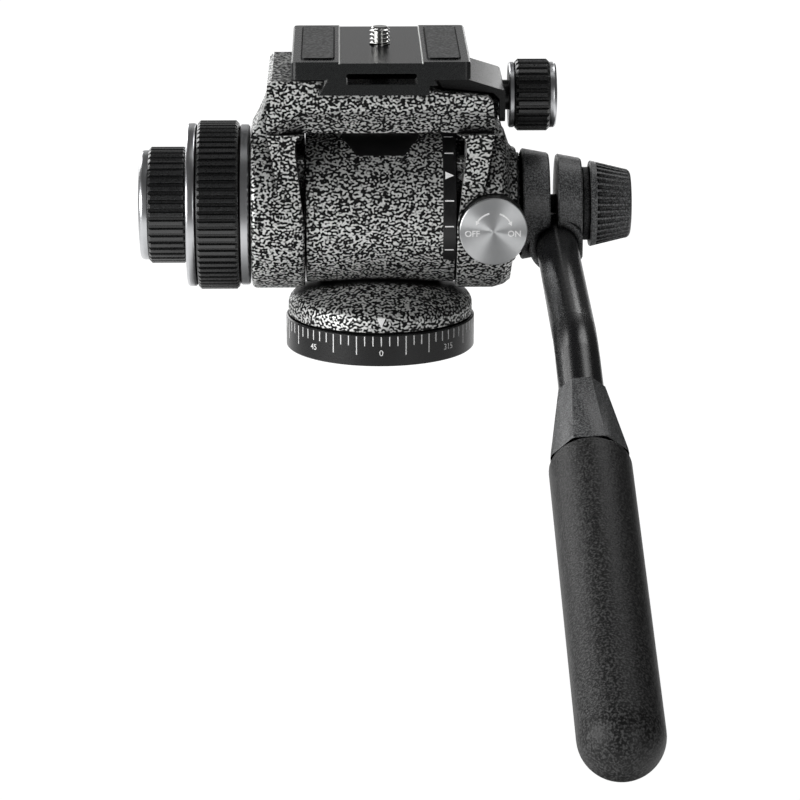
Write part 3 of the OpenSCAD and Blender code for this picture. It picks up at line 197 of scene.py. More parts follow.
def printed(outlines):
    """Flat (k, 2) outlines as the top and bottom outlines of a print, ink_mm above and below the surface."""
    return ([np.c_[f, np.full(len(f), ink_mm)] for f in outlines],
            [np.c_[f, np.full(len(f), -ink_mm)] for f in outlines])


def strokes(boxes):
    """Rectangles (x0, x1, y0, y1), one in each row, as a list of flat outlines of four corners."""
    b = np.asarray(boxes, float)
    return list(np.stack([b[:, [0, 1, 1, 0]], b[:, [2, 2, 3, 3]]], 2))


step = np.arange(0, 360, 5)
rim_x = np.radians(step) * dial_r
tall = (step % 15 == 0) & (step % 45 != 0)
tick_ends = np.where(tall, tall_tick_low, tick_low)
ticks = np.stack([rim_x - tick_half, rim_x + tick_half, tick_ends, np.full(len(step), tick_top)], 1)
points, faces = prism(*printed(strokes(ticks)))
place("dial_graduations", around_dial(points), faces, ink, "base", "anodised_black")


def lettering(word, height, bold=0.0, cap_share=0.7):
    """The word as a flat mesh in mm, centred and 2*ink_mm thick. Its capitals are as tall as height,
    which is cap_share of the font's size. bold widens each stroke by that much on both sides."""
    curve = bpy.data.curves.new(word, "FONT")
    curve.body, curve.align_x, curve.align_y = word, "CENTER", "CENTER"
    curve.size, curve.extrude, curve.resolution_u, curve.offset = height / cap_share, ink_mm, 4, bold
    holder = bpy.data.objects.new(word, curve)
    bpy.context.collection.objects.link(holder)
    mesh = bpy.data.meshes.new_from_object(holder.evaluated_get(bpy.context.evaluated_depsgraph_get()))
    flat = np.empty(len(mesh.vertices) * 3)
    mesh.vertices.foreach_get("co", flat)
    faces = [list(p.vertices) for p in mesh.polygons]
    bpy.data.objects.remove(holder)
    bpy.data.curves.remove(curve)
    bpy.data.meshes.remove(mesh)
    flat = flat.reshape(-1, 3)
    flat[:, :2] -= (flat[:, :2].max(0) + flat[:, :2].min(0)) / 2
    return flat, faces


points, faces, at = [], [], 0
for figure in range(0, 360, 45):
    flat, own = lettering(str(figure), figure_height)
    flat[:, 0] -= math.radians(figure) * dial_r
    flat[:, 1] += figure_z
    points.append(around_dial(flat))
    faces += [[i + at for i in f] for f in own]
    at += len(flat)
place("dial_figures", np.concatenate(points), faces, ink, "base", "anodised_black")

# Machined steel: the spindle, its screws, washers and nut, plain and bright with fine tool marks.
steel, tree, shader = finish("machined_steel", Metallic=1.0)
grain(tree, shader, 0.6, "#8F9194", "#A9ABAE", (0.28, 0.40), 0.003)
dress(steel, "pan_spindle", "base_screws", "disc_springs", "spindle_nut", "brake_disc")

# Sliding plastic: a milky acetal washer under the pan bush, smooth from the mould.
acetal, tree, shader = finish("acetal_natural", IOR=1.48)
grain(tree, shader, 2.0, "#D5D2C8", "#E2DFD6", (0.35, 0.45), 0.002)
dress(acetal, "pan_thrust_washer")

# Plain machined aluminium for the damper rings and other inner turned pieces.
raw_aluminium, tree, shader = finish("machined_aluminium", Metallic=1.0)
grain(tree, shader, 0.5, "#B4B6B9", "#C6C8CA", (0.30, 0.42), 0.003)
dress(raw_aluminium, "pan_damper_lower", "pan_damper_upper")


def helix(r_root, r_crest, z0, z1, pitch, fade, steps=48, rows=160, land=0.12):
    """A screw surface: at angle u and height z the radius follows a 60 degree wave of the phase
    z/pitch - u/2pi from r_root to r_crest, cut flat over land of a half wave at both, and dies out over
    fade at both ends. Gives a grid of (rows, steps, 3) points in mm."""
    u, z = np.meshgrid(np.linspace(0, 2 * np.pi, steps, endpoint=False), np.linspace(z0, z1, rows))
    wave = np.abs(((z / pitch - u / (2 * np.pi)) % 1) * 2 - 1)
    wave = np.clip((wave - land) / (1 - 2 * land), 0, 1)
    end = np.clip(np.minimum(z - z0, z1 - z) / fade, 0, 1)
    r = r_root + (r_crest - r_root) * wave * end
    return np.stack([r * np.cos(u), r * np.sin(u), z], 2)


def tube_faces(rows, steps, inward=False):
    """Quads of a grid that closes on itself along its second direction."""
    i, j = np.meshgrid(np.arange(rows - 1), np.arange(steps), indexing="ij")
    k = (j + 1) % steps
    quads = np.stack([i * steps + j, i * steps + k, (i + 1) * steps + k, (i + 1) * steps + j], 2)
    quads = quads.reshape(-1, 4)
    return (quads[:, ::-1] if inward else quads).tolist()


# The tripod thread in the spindle's bore: 3/8 inch, cut with 16 turns to the inch.
# It has a closed back against the bore's wall.
socket_wall, socket_root, socket_crest = 4.755, 4.74, 4.05
socket_low, socket_high, socket_fade = 0.15, 9.8, 0.9
socket_pitch = 25.4 / 16
front = helix(socket_root, socket_crest, socket_low, socket_high, socket_pitch, socket_fade)
back = helix(socket_wall, socket_wall, socket_low, socket_high, socket_pitch, socket_fade)
rows, steps = front.shape[:2]
points = np.concatenate([front.reshape(-1, 3), back.reshape(-1, 3)])
base = rows * steps
rim = np.arange(steps)
after = (rim + 1) % steps
faces = tube_faces(rows, steps, inward=True) + (np.array(tube_faces(rows, steps)) + base).tolist()
faces += np.stack([rim, after, base + after, base + rim], 1)[:, ::-1].tolist()
last = (rows - 1) * steps
faces += np.stack([last + rim, last + after, base + last + after, base + last + rim], 1).tolist()
place("tripod_thread", points, faces, steel, "base", "steel", smooth=True)


# Pan housing: one aluminium casting of foot, dome and drum. It is painted with a two-tone vein enamel,
# black below, with silver grey veins that are spattered on last. They draw together in the oven.
# In recesses the veins fade into the black ground as painted shade.

vein_mm, cloud_mm, peel_mm = 1.3, 0.7, 0.03
vein_start, vein_full, shade_reach_mm = 0.46, 0.60, 3.0


def open_share(tree, reach_mm, low=0.45, high=0.92):
    """0 deep in a groove and 1 on an open face: the share of sky that isn't hidden within reach_mm,
    drawn out from low to high."""
    sky = add(tree, "ShaderNodeAmbientOcclusion", {"Distance": reach_mm / 1000}, samples=6)
    return add(tree, "ShaderNodeMapRange",
               {"Value": sky.outputs["AO"], "From Min": low, "From Max": high}).outputs["Result"]


# Vein enamel: satin. The black is an even ground, and the veins hold aluminium flake, so they shine as
# metal does.
vein_enamel, tree, shader = finish("vein_enamel_black_silver", IOR=1.5, Specular_IOR_Level=0.15)
spot = add(tree, "ShaderNodeTexCoord").outputs["Object"]
wave = add(tree, "ShaderNodeTexGabor",
           {"Vector": spot, "Scale": 1000 / vein_mm, "Frequency": 1.0, "Anisotropy": 0.0}, gabor_type="3D")
vein = add(tree, "ShaderNodeMapRange",
           {"Value": wave.outputs["Value"], "From Min": vein_start, "From Max": vein_full},
           interpolation_type="SMOOTHSTEP")
# Painted shade: the veins fade to the black ground where little sky is open, in recesses and corners.
vein = add(tree, "ShaderNodeMath", {0: vein.outputs["Result"], 1: open_share(tree, shade_reach_mm)},
           operation="MULTIPLY").outputs[0]
cloud = add(tree, "ShaderNodeTexNoise",
            {"Vector": spot, "Scale": 1000 / cloud_mm, "Detail": 1.0}).outputs["Fac"]
silver = add(tree, "ShaderNodeMix",
             {"Factor": cloud, colour_a: linear("#BCBDBC"), colour_b: linear("#FAFBF9")}, data_type="RGBA")
tone = add(tree, "ShaderNodeMix",
           {"Factor": vein, colour_a: linear("#070708"), colour_b: silver.outputs[colour_out]},
           data_type="RGBA")
rub = add(tree, "ShaderNodeMapRange", {"Value": vein, "To Min": 0.5, "To Max": 0.52})
metal = add(tree, "ShaderNodeMapRange", {"Value": vein, "To Min": 0.0, "To Max": 0.85})
lift = add(tree, "ShaderNodeBump", {"Height": cloud, "Distance": peel_mm / 1000, "Strength": 1.0})
tree.links.new(tone.outputs[colour_out], shader.inputs["Base Color"])
tree.links.new(rub.outputs["Result"], shader.inputs["Roughness"])
tree.links.new(metal.outputs["Result"], shader.inputs["Metallic"])
tree.links.new(lift.outputs["Normal"], shader.inputs["Normal"])
dress(vein_enamel, "pan_housing")

# The white index on the foot, over the dial: a small triangle that follows the foot's rounded shoulder.
foot_r, wall_top, shoulder = 29.3, 13.5, 4.2
index_low, index_tall, index_half = 12.1, 3.2, 1.38
index_lift, index_sink = 0.04, 0.03
index_tip = 0.02  # the triangle's point keeps this share of its width, so that no face is empty


def foot_radius(z):
    """Radius of the foot at height z: upright below wall_top, then a quarter round, up to 0.88 of it."""
    s = np.clip((z - wall_top) / shoulder, 0, 0.88)
    return foot_r - shoulder * (1 - np.sqrt(1 - s * s))


def on_foot(x, z, out):
    """The point of the foot's surface in front at x and z, moved out along the radius."""
    r = foot_radius(z) + out
    return np.stack([x, -np.sqrt(r * r - x * x), z], -1)


rows, cols = 9, 5
t = np.linspace(0, 1, rows)[:, None]
s = np.linspace(-1, 1, cols)[None, :]
z = index_low + index_tall * t + 0 * s
x = index_half * np.maximum(t, index_tip) * s
points = np.concatenate([on_foot(x, z, index_lift).reshape(-1, 3), on_foot(x, z, -index_sink).reshape(-1, 3)])
under = rows * cols
i, j = np.meshgrid(np.arange(rows - 1), np.arange(cols - 1), indexing="ij")
corner = i * cols + j
sheet = np.stack([corner, corner + 1, corner + cols + 1, corner + cols], 2).reshape(-1, 4)
edge = np.concatenate([np.arange(cols), cols * np.arange(1, rows) + cols - 1,
                       cols * (rows - 1) + np.arange(cols - 2, -1, -1), cols * np.arange(rows - 2, 0, -1)])
turn = np.roll(edge, -1)
faces = sheet.tolist() + (sheet[:, ::-1] + under).tolist()
faces += np.stack([edge, edge + under, turn + under, turn], 1).tolist()
place("pan_index", points, faces, ink, "pan_body", "speckle_paint")

# The felt ring in the seam, dark with grease, and the bronze bushes of both axes, pressed from powder.
felt, tree, shader = finish("greased_felt", IOR=1.45)
grain(tree, shader, 0.25, "#0C0C0C", "#191918", (0.75, 0.9), 0.05, detail=4.0)
dress(felt, "pan_seal")
bronze, tree, shader = finish("sintered_bronze", Metallic=1.0)
grain(tree, shader, 0.3, "#7A5A33", "#9C7844", (0.35, 0.5), 0.01)
dress(bronze, "pan_bush", "tilt_bush_left", "tilt_bush_right")


# Tilt scale and access cap: black moulded pieces let into the drum. The scale has printed strokes
# and a pointer, and the cap closes the hole through which the pan nut is set.

drum_r, axis_z = 24.5, 45.4
stroke_left, stroke_right, stroke_half = 19.95, 22.75, 0.2
pointer_left, pointer_right, pointer_half = 20.1, 22.9, 1.25
pointer_angle, stroke_gap = 33.4, 18.95

# Polished nylon: deep black and smooth from the mould, with edges a little rounded.
smooth_nylon, tree, shader = finish("polished_nylon_black", IOR=1.5)
grain(tree, shader, 0.6, "#080809", "#0E0E0F", (0.30, 0.38), 0.004, edge_mm=0.25)
dress(smooth_nylon, "tilt_scale", "access_cap")


def around_drum(flat):
    """Wraps flat points (x along the tilt axis, y as arc from the front upwards in degrees, z outwards)."""
    a = np.radians(flat[:, 1])
    q = drum_r + flat[:, 2]
    return np.stack([flat[:, 0], -q * np.cos(a), axis_z + q * np.sin(a)], 1)


turns = pointer_angle + stroke_gap * np.array([-3, -2, -1, 1, 2, 3, 4, 5])
half = np.degrees(stroke_half / drum_r)
marks = strokes(np.stack([0 * turns + stroke_left, 0 * turns + stroke_right, turns - half, turns + half], 1))
tip = np.degrees(pointer_half / drum_r)
marks.append(np.array([[pointer_left, pointer_angle - tip], [pointer_right, pointer_angle],
                       [pointer_left, pointer_angle + tip]]))
points, faces = prism(*printed(marks))
place("tilt_strokes", around_drum(points), faces, ink, "pan_body", "black_plastic")

# Inner pieces of the drum: end caps, fluid damper, counterbalance spring and pan brake.
# Friction fibre is brown and dull, pressed from short strands.
dress(raw_aluminium, "drum_cap_left", "drum_cap_right", "tilt_damper_stator", "tilt_damper_rotor",
      "counterbalance_hub")
dress(steel, "counterbalance_spring", "brake_bridge", "brake_plunger", "brake_rod")
fibre, tree, shader = finish("friction_fibre", IOR=1.5)
grain(tree, shader, 0.4, "#3F2B1C", "#6B4A30", (0.7, 0.85), 0.03, detail=4.0)
dress(fibre, "friction_discs_fibre")


# Tilt cradle: the second casting, two round cheeks under the slab that holds the plate.
# It wears the same vein enamel. Trunnions, friction discs and the jaw's stud are fixed in it.

dress(vein_enamel, "tilt_cradle", "counterbalance_cover")
dress(steel, "left_trunnion", "right_trunnion", "friction_discs_steel", "pressure_plate", "push_pins",
      "lock_stud", "clutch_pin")
dress(smooth_nylon, "rosette_head")

# The cheek's own pointer beside the scale, printed on the step inside the right cheek's window.
cheek_tip_x, cheek_base_x, cheek_z, cheek_half = 24.05, 25.5, 57.8, 1.3
step_y = -18.0
pointer = np.array([[cheek_tip_x, cheek_z], [cheek_base_x, cheek_z - cheek_half],
                    [cheek_base_x, cheek_z + cheek_half]])
points, faces = prism([np.c_[pointer[:, 0], np.full(3, step_y - ink_mm), pointer[:, 1]]],
                      [np.c_[pointer[:, 0], np.full(3, step_y + ink_mm), pointer[:, 1]]])
place("cheek_pointer", points, faces, ink, "cradle", "speckle_paint")


# Left knobs: the wide ring sets the tilt drag and the small one locks the pan. Both are ribbed rubber
# sleeves stretched over turned cores, with rings and a domed cap of gunmetal aluminium beside them.


def groove(tree, shader, reach_mm, level, low=0.45, high=0.92):
    """Paints shade into grooves: takes colour and gloss away where little sky is open.
    level is the gloss outside them, and reach_mm, low and high are open_share's."""
    bare = open_share(tree, reach_mm, low, high)
    held = shader.inputs["Base Color"].links[0].from_socket
    tone = add(tree, "ShaderNodeMix", {0: bare, colour_a: linear("#020202"), colour_b: held},
               data_type="RGBA")
    gloss = add(tree, "ShaderNodeMath", {0: bare, 1: level}, operation="MULTIPLY")
    tree.links.new(tone.outputs[colour_out], shader.inputs["Base Color"])
    tree.links.new(gloss.outputs[0], shader.inputs["Specular IOR Level"])


# Moulded rubber: black and satin. Its ribs shine along their edges, and shade is painted into the grooves
# between them, darker and duller.
rubber, tree, shader = finish("moulded_rubber_black", IOR=1.5)
grain(tree, shader, 0.5, "#101011", "#1D1E1F", (0.26, 0.34), 0.006, edge_mm=0.2)
groove(tree, shader, 1.2, 1.0)
dress(rubber, "drag_grip", "pan_knob_grip")


def turned(name, colours, rough, axis, centre, line_mm=0.12, stain_mm=3.0, bump_mm=0.004, aniso=0.0):
    """Turned metal: noise over (place along the axis, distance from the axis) only, so it runs round as
    tool lines, with a faint stain. axis is the index of the lathe's axis, centre the other two
    coordinates in mm, in the order left. The distance never falls below one line, so the bump has no
    spike in the middle. With aniso the gloss is drawn out along the radius, across the tool lines."""
    material, tree, shader = finish(name, Metallic=1.0, Anisotropic=aniso)
    spot = add(tree, "ShaderNodeTexCoord").outputs["Object"]
    cut = add(tree, "ShaderNodeSeparateXYZ", {0: spot}).outputs
    across = [k for k in range(3) if k != axis]
    shifted = [add(tree, "ShaderNodeMath", {0: cut[k], 1: c / 1000}, operation="SUBTRACT").outputs[0]
               for k, c in zip(across, centre)]
    radial = add(tree, "ShaderNodeCombineXYZ", {0: shifted[0], 1: shifted[1], 2: line_mm / 1000})
    reach = add(tree, "ShaderNodeVectorMath", {0: radial.outputs[0]}, operation="LENGTH").outputs["Value"]
    lathe = add(tree, "ShaderNodeCombineXYZ", {0: cut[axis], 1: reach, 2: 0.0})
    lines = add(tree, "ShaderNodeTexNoise",
                {"Vector": lathe.outputs[0], "Scale": 1000 / line_mm, "Detail": 2.0, "Roughness": 0.6})
    stain = add(tree, "ShaderNodeTexNoise", {"Vector": spot, "Scale": 1000 / stain_mm, "Detail": 2.0})
    tone = add(tree, "ShaderNodeMix",
               {"Factor": stain.outputs["Fac"], colour_a: linear(colours[0]), colour_b: linear(colours[1])},
               data_type="RGBA")
    rub = add(tree, "ShaderNodeMapRange",
              {"Value": lines.outputs["Fac"], "To Min": rough[0], "To Max": rough[1]})
    lift = add(tree, "ShaderNodeBump",
               {"Height": lines.outputs["Fac"], "Distance": bump_mm / 1000, "Strength": 1.0})
    if aniso:
        ray = add(tree, "ShaderNodeCombineXYZ", dict(zip(across, shifted)))
        ray = add(tree, "ShaderNodeVectorTransform", {0: ray.outputs[0]}, vector_type="VECTOR",
                  convert_from="OBJECT", convert_to="WORLD")
        tree.links.new(ray.outputs[0], shader.inputs["Tangent"])
    tree.links.new(tone.outputs[colour_out], shader.inputs["Base Color"])
    tree.links.new(rub.outputs["Result"], shader.inputs["Roughness"])
    tree.links.new(lift.outputs["Normal"], shader.inputs["Normal"])
    return material


# Gunmetal anodised aluminium, turned: grey, with rings round the knob's own axis. They are finer than
# the render shows and only soften the gloss.
gunmetal_colours, gunmetal_rough = ("#C4C5C7", "#D4D5D7"), (0.24, 0.36)
gunmetal = turned("gunmetal_aluminium_turned", gunmetal_colours, gunmetal_rough, 0, (0.0, axis_z))
dress(gunmetal, "drag_trim_inner", "drag_trim_outer", "pan_knob_cap")
dress(anodised_black, "drag_hub", "pan_knob_hub")


# Balance selector: a black knob in the right cheek with a spun aluminium face. Two printed arrows
# show which way it turns, to OFF on the left and to ON on the right.

face_x, face_z, face_y = 34.8, 43.3, -31.2
arrow_r, arrow_width, arrow_head = 5.9, 0.5, 1.3
word_height, word_bold, word_z = 1.85, 0.05, -0.6

# Spun aluminium: bright, cut in one pass from the rim to the middle, so light falls on it in sectors.
spun = turned("spun_aluminium_bright", ("#C6C8C9", "#D6D7D8"), (0.34, 0.42), 1, (face_x, face_z),
              line_mm=0.16, aniso=0.92)
dress(spun, "selector_face")
dress(smooth_nylon, "selector_knob")


def arrow(a0, a1, barb=1.4, bends=14):
    """A bent arrow in polar form: a band of arrow_width from angle a0 to a1 at arrow_r, then a head that
    starts barb widths to each side and runs to a point."""
    way = math.copysign(1, a1 - a0)
    neck = a1 - way * math.degrees(arrow_head / arrow_r)
    a = np.radians(np.linspace(a0, neck, bends))
    a = np.concatenate([a, np.radians([neck, a1, neck]), a[::-1]])
    out = np.repeat([0.5, barb, 0, -barb, -0.5], [bends, 1, 1, 1, bends])
    r = arrow_r + out * arrow_width
    flat = np.stack([r * np.cos(a), r * np.sin(a)], 1)
    return flat if way > 0 else flat[::-1]


def on_face(flat):
    """Puts flat points (x, y, out) on the selector's face, seen from the operator's side."""
    return np.stack([face_x + flat[:, 0], face_y - flat[:, 2], face_z + flat[:, 1]], 1)


points, faces = prism(*printed([arrow(104, 160), arrow(72, 18)]))
for word, x in (("OFF", -6.6), ("ON", 6.4)):
    flat, own = lettering(word, word_height, word_bold)
    flat[:, :2] += (x, word_z)
    faces += [[i + len(points) for i in f] for f in own]
    points = np.concatenate([points, flat])
place("selector_marks", on_face(points), faces, ink, "selector", "spun_aluminium")


# Plate clamp: the moving jaw is a black anodised extrusion that slides on two steel pins, drawn by the
# lock knob on its stud. The knob has the same ribbed rubber and gunmetal rings as the left ones.

lock_z = 80.5
dress(anodised_black, "clamp_jaw", "lock_knob_core")
dress(steel, "jaw_pins")
dress(rubber, "lock_knob_grip")
lock_metal = turned("gunmetal_aluminium_lock", gunmetal_colours, gunmetal_rough, 0, (0.0, lock_z))
dress(lock_metal, "lock_knob_ring", "lock_knob_cap")


# Camera plate: a black anodised extrusion with a dovetail, two rubber pads let into its top,
# and the captive camera screw of bright plated steel between them.

channel_edge, channel_height = (12.5, 12.95), (96.4, 98)
slot_half_x, slot_half_y, slot_height = 11.3, 24.6, (90.05, 93.45)
pad_flat_x, pad_flat_y = (14.6, 24.1), 28.6

# Anodised aluminium, drawn and then blasted finely: black, with a sharper gloss than the other pieces.
plate_metal, tree, shader = finish("anodised_aluminium_plate", IOR=1.5)
grain(tree, shader, 0.3, "#151617", "#1D1F1F", (0.24, 0.30), 0.003, edge_mm=0.3)


def between(tree, value, low_mm, high_mm):
    """1 where a length lies between two limits in mm, else 0."""
    middle_mm, half_mm = (low_mm + high_mm) / 2, (high_mm - low_mm) / 2
    return add(tree, "ShaderNodeMath", {0: value, 1: middle_mm / 1000, 2: half_mm / 1000},
               operation="COMPARE").outputs[0]


number_a, number_b, number_out = 2, 3, 0  # the sockets of a Mix node that mixes numbers


def overlay(tree, shader, mask, **sockets):
    """Where mask is 1, puts constants on the shader's sockets in place of what feeds them now."""
    for key, value in sockets.items():
        socket = shader.inputs[key.replace("_", " ")]
        colour = socket.type == "RGBA"
        held = socket.links[0].from_socket if socket.is_linked else (
            tuple(socket.default_value) if colour else socket.default_value)
        a, b, out = (colour_a, colour_b, colour_out) if colour else (number_a, number_b, number_out)
        mixed = add(tree, "ShaderNodeMix", {0: mask, a: held, b: value},
                    data_type="RGBA" if colour else "FLOAT")
        tree.links.new(mixed.outputs[out], socket)


def lengths(tree):
    """The place on a plate that is the same on both sides: the sizes of x and y, and the height z."""
    x, y, z = add(tree, "ShaderNodeSeparateXYZ",
                  {0: add(tree, "ShaderNodeTexCoord").outputs["Object"]}).outputs
    side, along = [add(tree, "ShaderNodeMath", {0: k}, operation="ABSOLUTE").outputs[0] for k in (x, y)]
    return side, along, z


# The channel between the pads was milled after anodising, so its two long edges are bare metal.
# Inside the slot below, shade is painted: the aluminium there is made near black and dull.
side, along, height = lengths(tree)
bare = add(tree, "ShaderNodeMath",
           {0: between(tree, side, *channel_edge), 1: between(tree, height, *channel_height)},
           operation="MULTIPLY").outputs[0]
overlay(tree, shader, bare, Base_Color=linear("#D9DAD8"), Metallic=1.0, Roughness=0.45)
slot_shade = add(tree, "ShaderNodeMath",
             {0: between(tree, side, 0, slot_half_x), 1: between(tree, height, *slot_height)},
             operation="MULTIPLY").outputs[0]
slot_shade = add(tree, "ShaderNodeMath", {0: slot_shade, 1: between(tree, along, 0, slot_half_y)},
             operation="MULTIPLY").outputs[0]
overlay(tree, shader, slot_shade, Base_Color=linear("#050505"), Roughness=0.9, Specular_IOR_Level=0.1)
dress(plate_metal, "camera_plate")

# Pad rubber: grey-black, with a matt grain of 0.9 mm that grips. A thin rim of painted shade, near black and
# dull, runs round each.
pad_rubber, tree, shader = finish("pad_rubber_grey", IOR=1.5)
grain(tree, shader, 0.9, "#1E1F1F", "#7A7B7B", (0.5, 0.66), 0.12, low=0.42, high=0.64)
side, along, _ = lengths(tree)
flat = add(tree, "ShaderNodeMath",
           {0: between(tree, side, *pad_flat_x), 1: between(tree, along, 0, pad_flat_y)},
           operation="MULTIPLY").outputs[0]
# Painted shade: the rim round each pad, outside its flat middle.
edge = add(tree, "ShaderNodeMath", {0: 1.0, 1: flat}, operation="SUBTRACT").outputs[0]
overlay(tree, shader, edge, Base_Color=linear("#060606"), Specular_IOR_Level=0.1)
dress(pad_rubber, "plate_pads")

# The camera screw, 1/4 inch, cut with 20 turns to the inch above its relieved shank, with a broad head
# below. Nickel plate: bright and warm, a little clouded.
nickel, tree, shader = finish("nickel_plated_steel", Metallic=1.0)
grain(tree, shader, 0.5, "#BDBDBB", "#CFCFCD", (0.14, 0.22), 0.002)
head_low, head_high, head_r, flat_r, bevel = 87.1, 89.7, 7.9, 7.0, 0.3
shank_r, shank_top = 2.575, 96.6
root_r, thread_r, thread_low, thread_high = 2.62, 3.175, 96.62, 101.95
screw_pitch, screw_fade, core_r = 1.27, 0.5, 0.02
point = [(2.37, 102.3), (2.12, 102.4), (1.2, 102.4), (core_r, 102.4)]
steps = 48
u = np.linspace(0, 2 * np.pi, steps, endpoint=False)


def hoops(profile):
    """Turns a list of (r, z) into hoops about the Z axis, as a grid of (len(profile), steps, 3)."""
    r, z = np.asarray(profile, float).T[:, :, None]
    return np.stack([r * np.cos(u), r * np.sin(u), z + 0 * u], 2)


below = hoops([(core_r, head_low), (flat_r, head_low), (head_r - bevel, head_low), (head_r, head_low + bevel),
               (head_r, head_high - bevel), (head_r - bevel, head_high), (shank_r, head_high),
               (shank_r, shank_top)])
thread = helix(root_r, thread_r, thread_low, thread_high, screw_pitch, screw_fade, steps=steps, rows=140)
skin = np.concatenate([below, thread, hoops(point)])
faces = tube_faces(len(skin), steps)
faces += [list(range(steps))[::-1], [(len(skin) - 1) * steps + k for k in range(steps)]]
screw = place("camera_screw_cut", skin.reshape(-1, 3), faces, nickel, "plate_screw", "screw_steel",
              smooth=True)
screw.modifiers.new("crisp_edges", "NODES").node_group = crisp_edges
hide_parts("camera_screw")


# Pan bar: a moulded clamp in two halves, a bent tube with a satin black coat, an eight-sided collar
# and a long rubber grip. The tapered knob draws the halves together on its bolt.

# Moulded nylon: a spark-eroded grain of about a third of a millimetre, drawn at 0.45 mm so that it shows.
nylon, tree, shader = finish("moulded_nylon_black", IOR=1.5)
grain(tree, shader, 0.45, "#222324", "#777879", (0.36, 0.56), 0.08, detail=1.0, low=0.42, high=0.64,
      edge_mm=0.2)
# Painted shade in the flutes, grooves and seams: darker and duller where little sky is open.
groove(tree, shader, 2.0, 0.6, low=0.62, high=0.95)
dress(nylon, "bar_clamp_inner", "bar_clamp_outer", "bar_knob", "bar_collar")

# Powder coat on the tube: satin black with a very fine orange peel.
powder, tree, shader = finish("powder_coat_black", IOR=1.5)
grain(tree, shader, 0.5, "#0C0C0E", "#131315", (0.24, 0.32), 0.004)
dress(powder, "bar_tube")

# Grip rubber: foamed, with an open grain of about 0.6 mm and a soft sheen.
grip_rubber, tree, shader = finish("grip_rubber_grained", IOR=1.5, Specular_IOR_Level=0.3)
grain(tree, shader, 0.6, "#0B0B0B", "#505050", (0.44, 0.60), 0.12, low=0.44, high=0.66)
dress(grip_rubber, "bar_grip")


# Studio: white paper, tall soft lights in front on both sides, a strip above and bright panels behind.
# The paper lies deep enough for the pan bar to swing over it at every pose, and is seen through from
# below. The camera stands where the photograph was taken.

spare, paper_half = 0.01, 3.0
swing = max(math.hypot(y, z - axis_z / 1000) for _, y, z in cad_box)
low = axis_z / 1000 - swing - spare
mesh = bpy.data.meshes.new("floor")
mesh.from_pydata([(x * paper_half, y * paper_half, low) for x, y in ((-1, -1), (1, -1), (1, 1), (-1, 1))],
                 [], [(0, 1, 2, 3)])
floor = bpy.data.objects.new("floor", mesh)
bpy.context.collection.objects.link(floor)

# White paper: matt. The camera sees it nearly as plain white. Reflections see a lit pool that is dark
# under the head and fades to both sides and to the front. Its lengths are in metres.
shadow_centre, shadow_scale, shadow_edge = (0.065, 0.046, 0), (1, 1 / 3, 0), (0.13, 0.17)
side_fade, front_fade, glow_rise = (0.55, 1.3), (-1.45, -0.61), (0.5, 0.9)
pool_dark, pool_lit, side_lit, front_lit = 0.04, 1.15, 0.12, 0.15
glow_share, glow_near, glow_far = 0.88, 1.1, 1.2
paper, tree, shader = finish("white_paper", Roughness=0.9, Base_Color=(0.65, 0.65, 0.65, 1))
way = add(tree, "ShaderNodeLightPath").outputs
mirrored = add(tree, "ShaderNodeMath", {0: way["Is Glossy Ray"], 1: way["Is Transmission Ray"]},
               operation="MAXIMUM")
seen = add(tree, "ShaderNodeMath", {0: way["Is Camera Ray"], 1: mirrored.outputs[0]}, operation="MAXIMUM")
part = add(tree, "ShaderNodeMath", {0: seen.outputs[0], 1: glow_share}, operation="MULTIPLY")
spot = add(tree, "ShaderNodeTexCoord").outputs["Object"]
cut = add(tree, "ShaderNodeSeparateXYZ", {0: spot}).outputs
flat = add(tree, "ShaderNodeVectorMath", {0: spot, 1: shadow_scale}, operation="MULTIPLY").outputs["Vector"]
away = add(tree, "ShaderNodeVectorMath", {0: flat, 1: shadow_centre}, operation="DISTANCE").outputs["Value"]
shade = add(tree, "ShaderNodeMapRange", {"Value": away, "From Min": shadow_edge[0],
                                         "From Max": shadow_edge[1], "To Min": pool_dark,
                                         "To Max": pool_lit})
beside = add(tree, "ShaderNodeMath", {0: cut[0]}, operation="ABSOLUTE").outputs[0]
dim = add(tree, "ShaderNodeMapRange", {"Value": beside, "From Min": side_fade[0],
                                       "From Max": side_fade[1], "To Min": 1.0, "To Max": side_lit})
near = add(tree, "ShaderNodeMapRange", {"Value": cut[1], "From Min": front_fade[0],
                                        "From Max": front_fade[1], "To Min": front_lit, "To Max": 1.0})
pool = add(tree, "ShaderNodeMath", {0: shade.outputs["Result"], 1: dim.outputs["Result"]},
           operation="MULTIPLY").outputs[0]
pool = add(tree, "ShaderNodeMath", {0: pool, 1: near.outputs["Result"]}, operation="MULTIPLY").outputs[0]
gone = add(tree, "ShaderNodeVectorMath", {0: spot}, operation="LENGTH").outputs["Value"]
bright = add(tree, "ShaderNodeMapRange", {"Value": gone, "From Min": glow_rise[0], "From Max": glow_rise[1],
                                          "To Min": glow_near, "To Max": glow_far}).outputs["Result"]
power = add(tree, "ShaderNodeMix", {0: way["Is Camera Ray"], number_a: pool, number_b: bright},
            data_type="FLOAT")
white = add(tree, "ShaderNodeEmission", {"Color": (1, 1, 1, 1), "Strength": power.outputs[0]})
blend = add(tree, "ShaderNodeMixShader", {0: part.outputs[0], 1: shader.outputs[0], 2: white.outputs[0]})
back = add(tree, "ShaderNodeNewGeometry").outputs["Backfacing"]
clear = add(tree, "ShaderNodeBsdfTransparent")
blend = add(tree, "ShaderNodeMixShader", {0: back, 1: blend.outputs[0], 2: clear.outputs[0]})
tree.links.new(blend.outputs[0], tree.nodes["Material Output"].inputs["Surface"])
mesh.materials.append(paper)

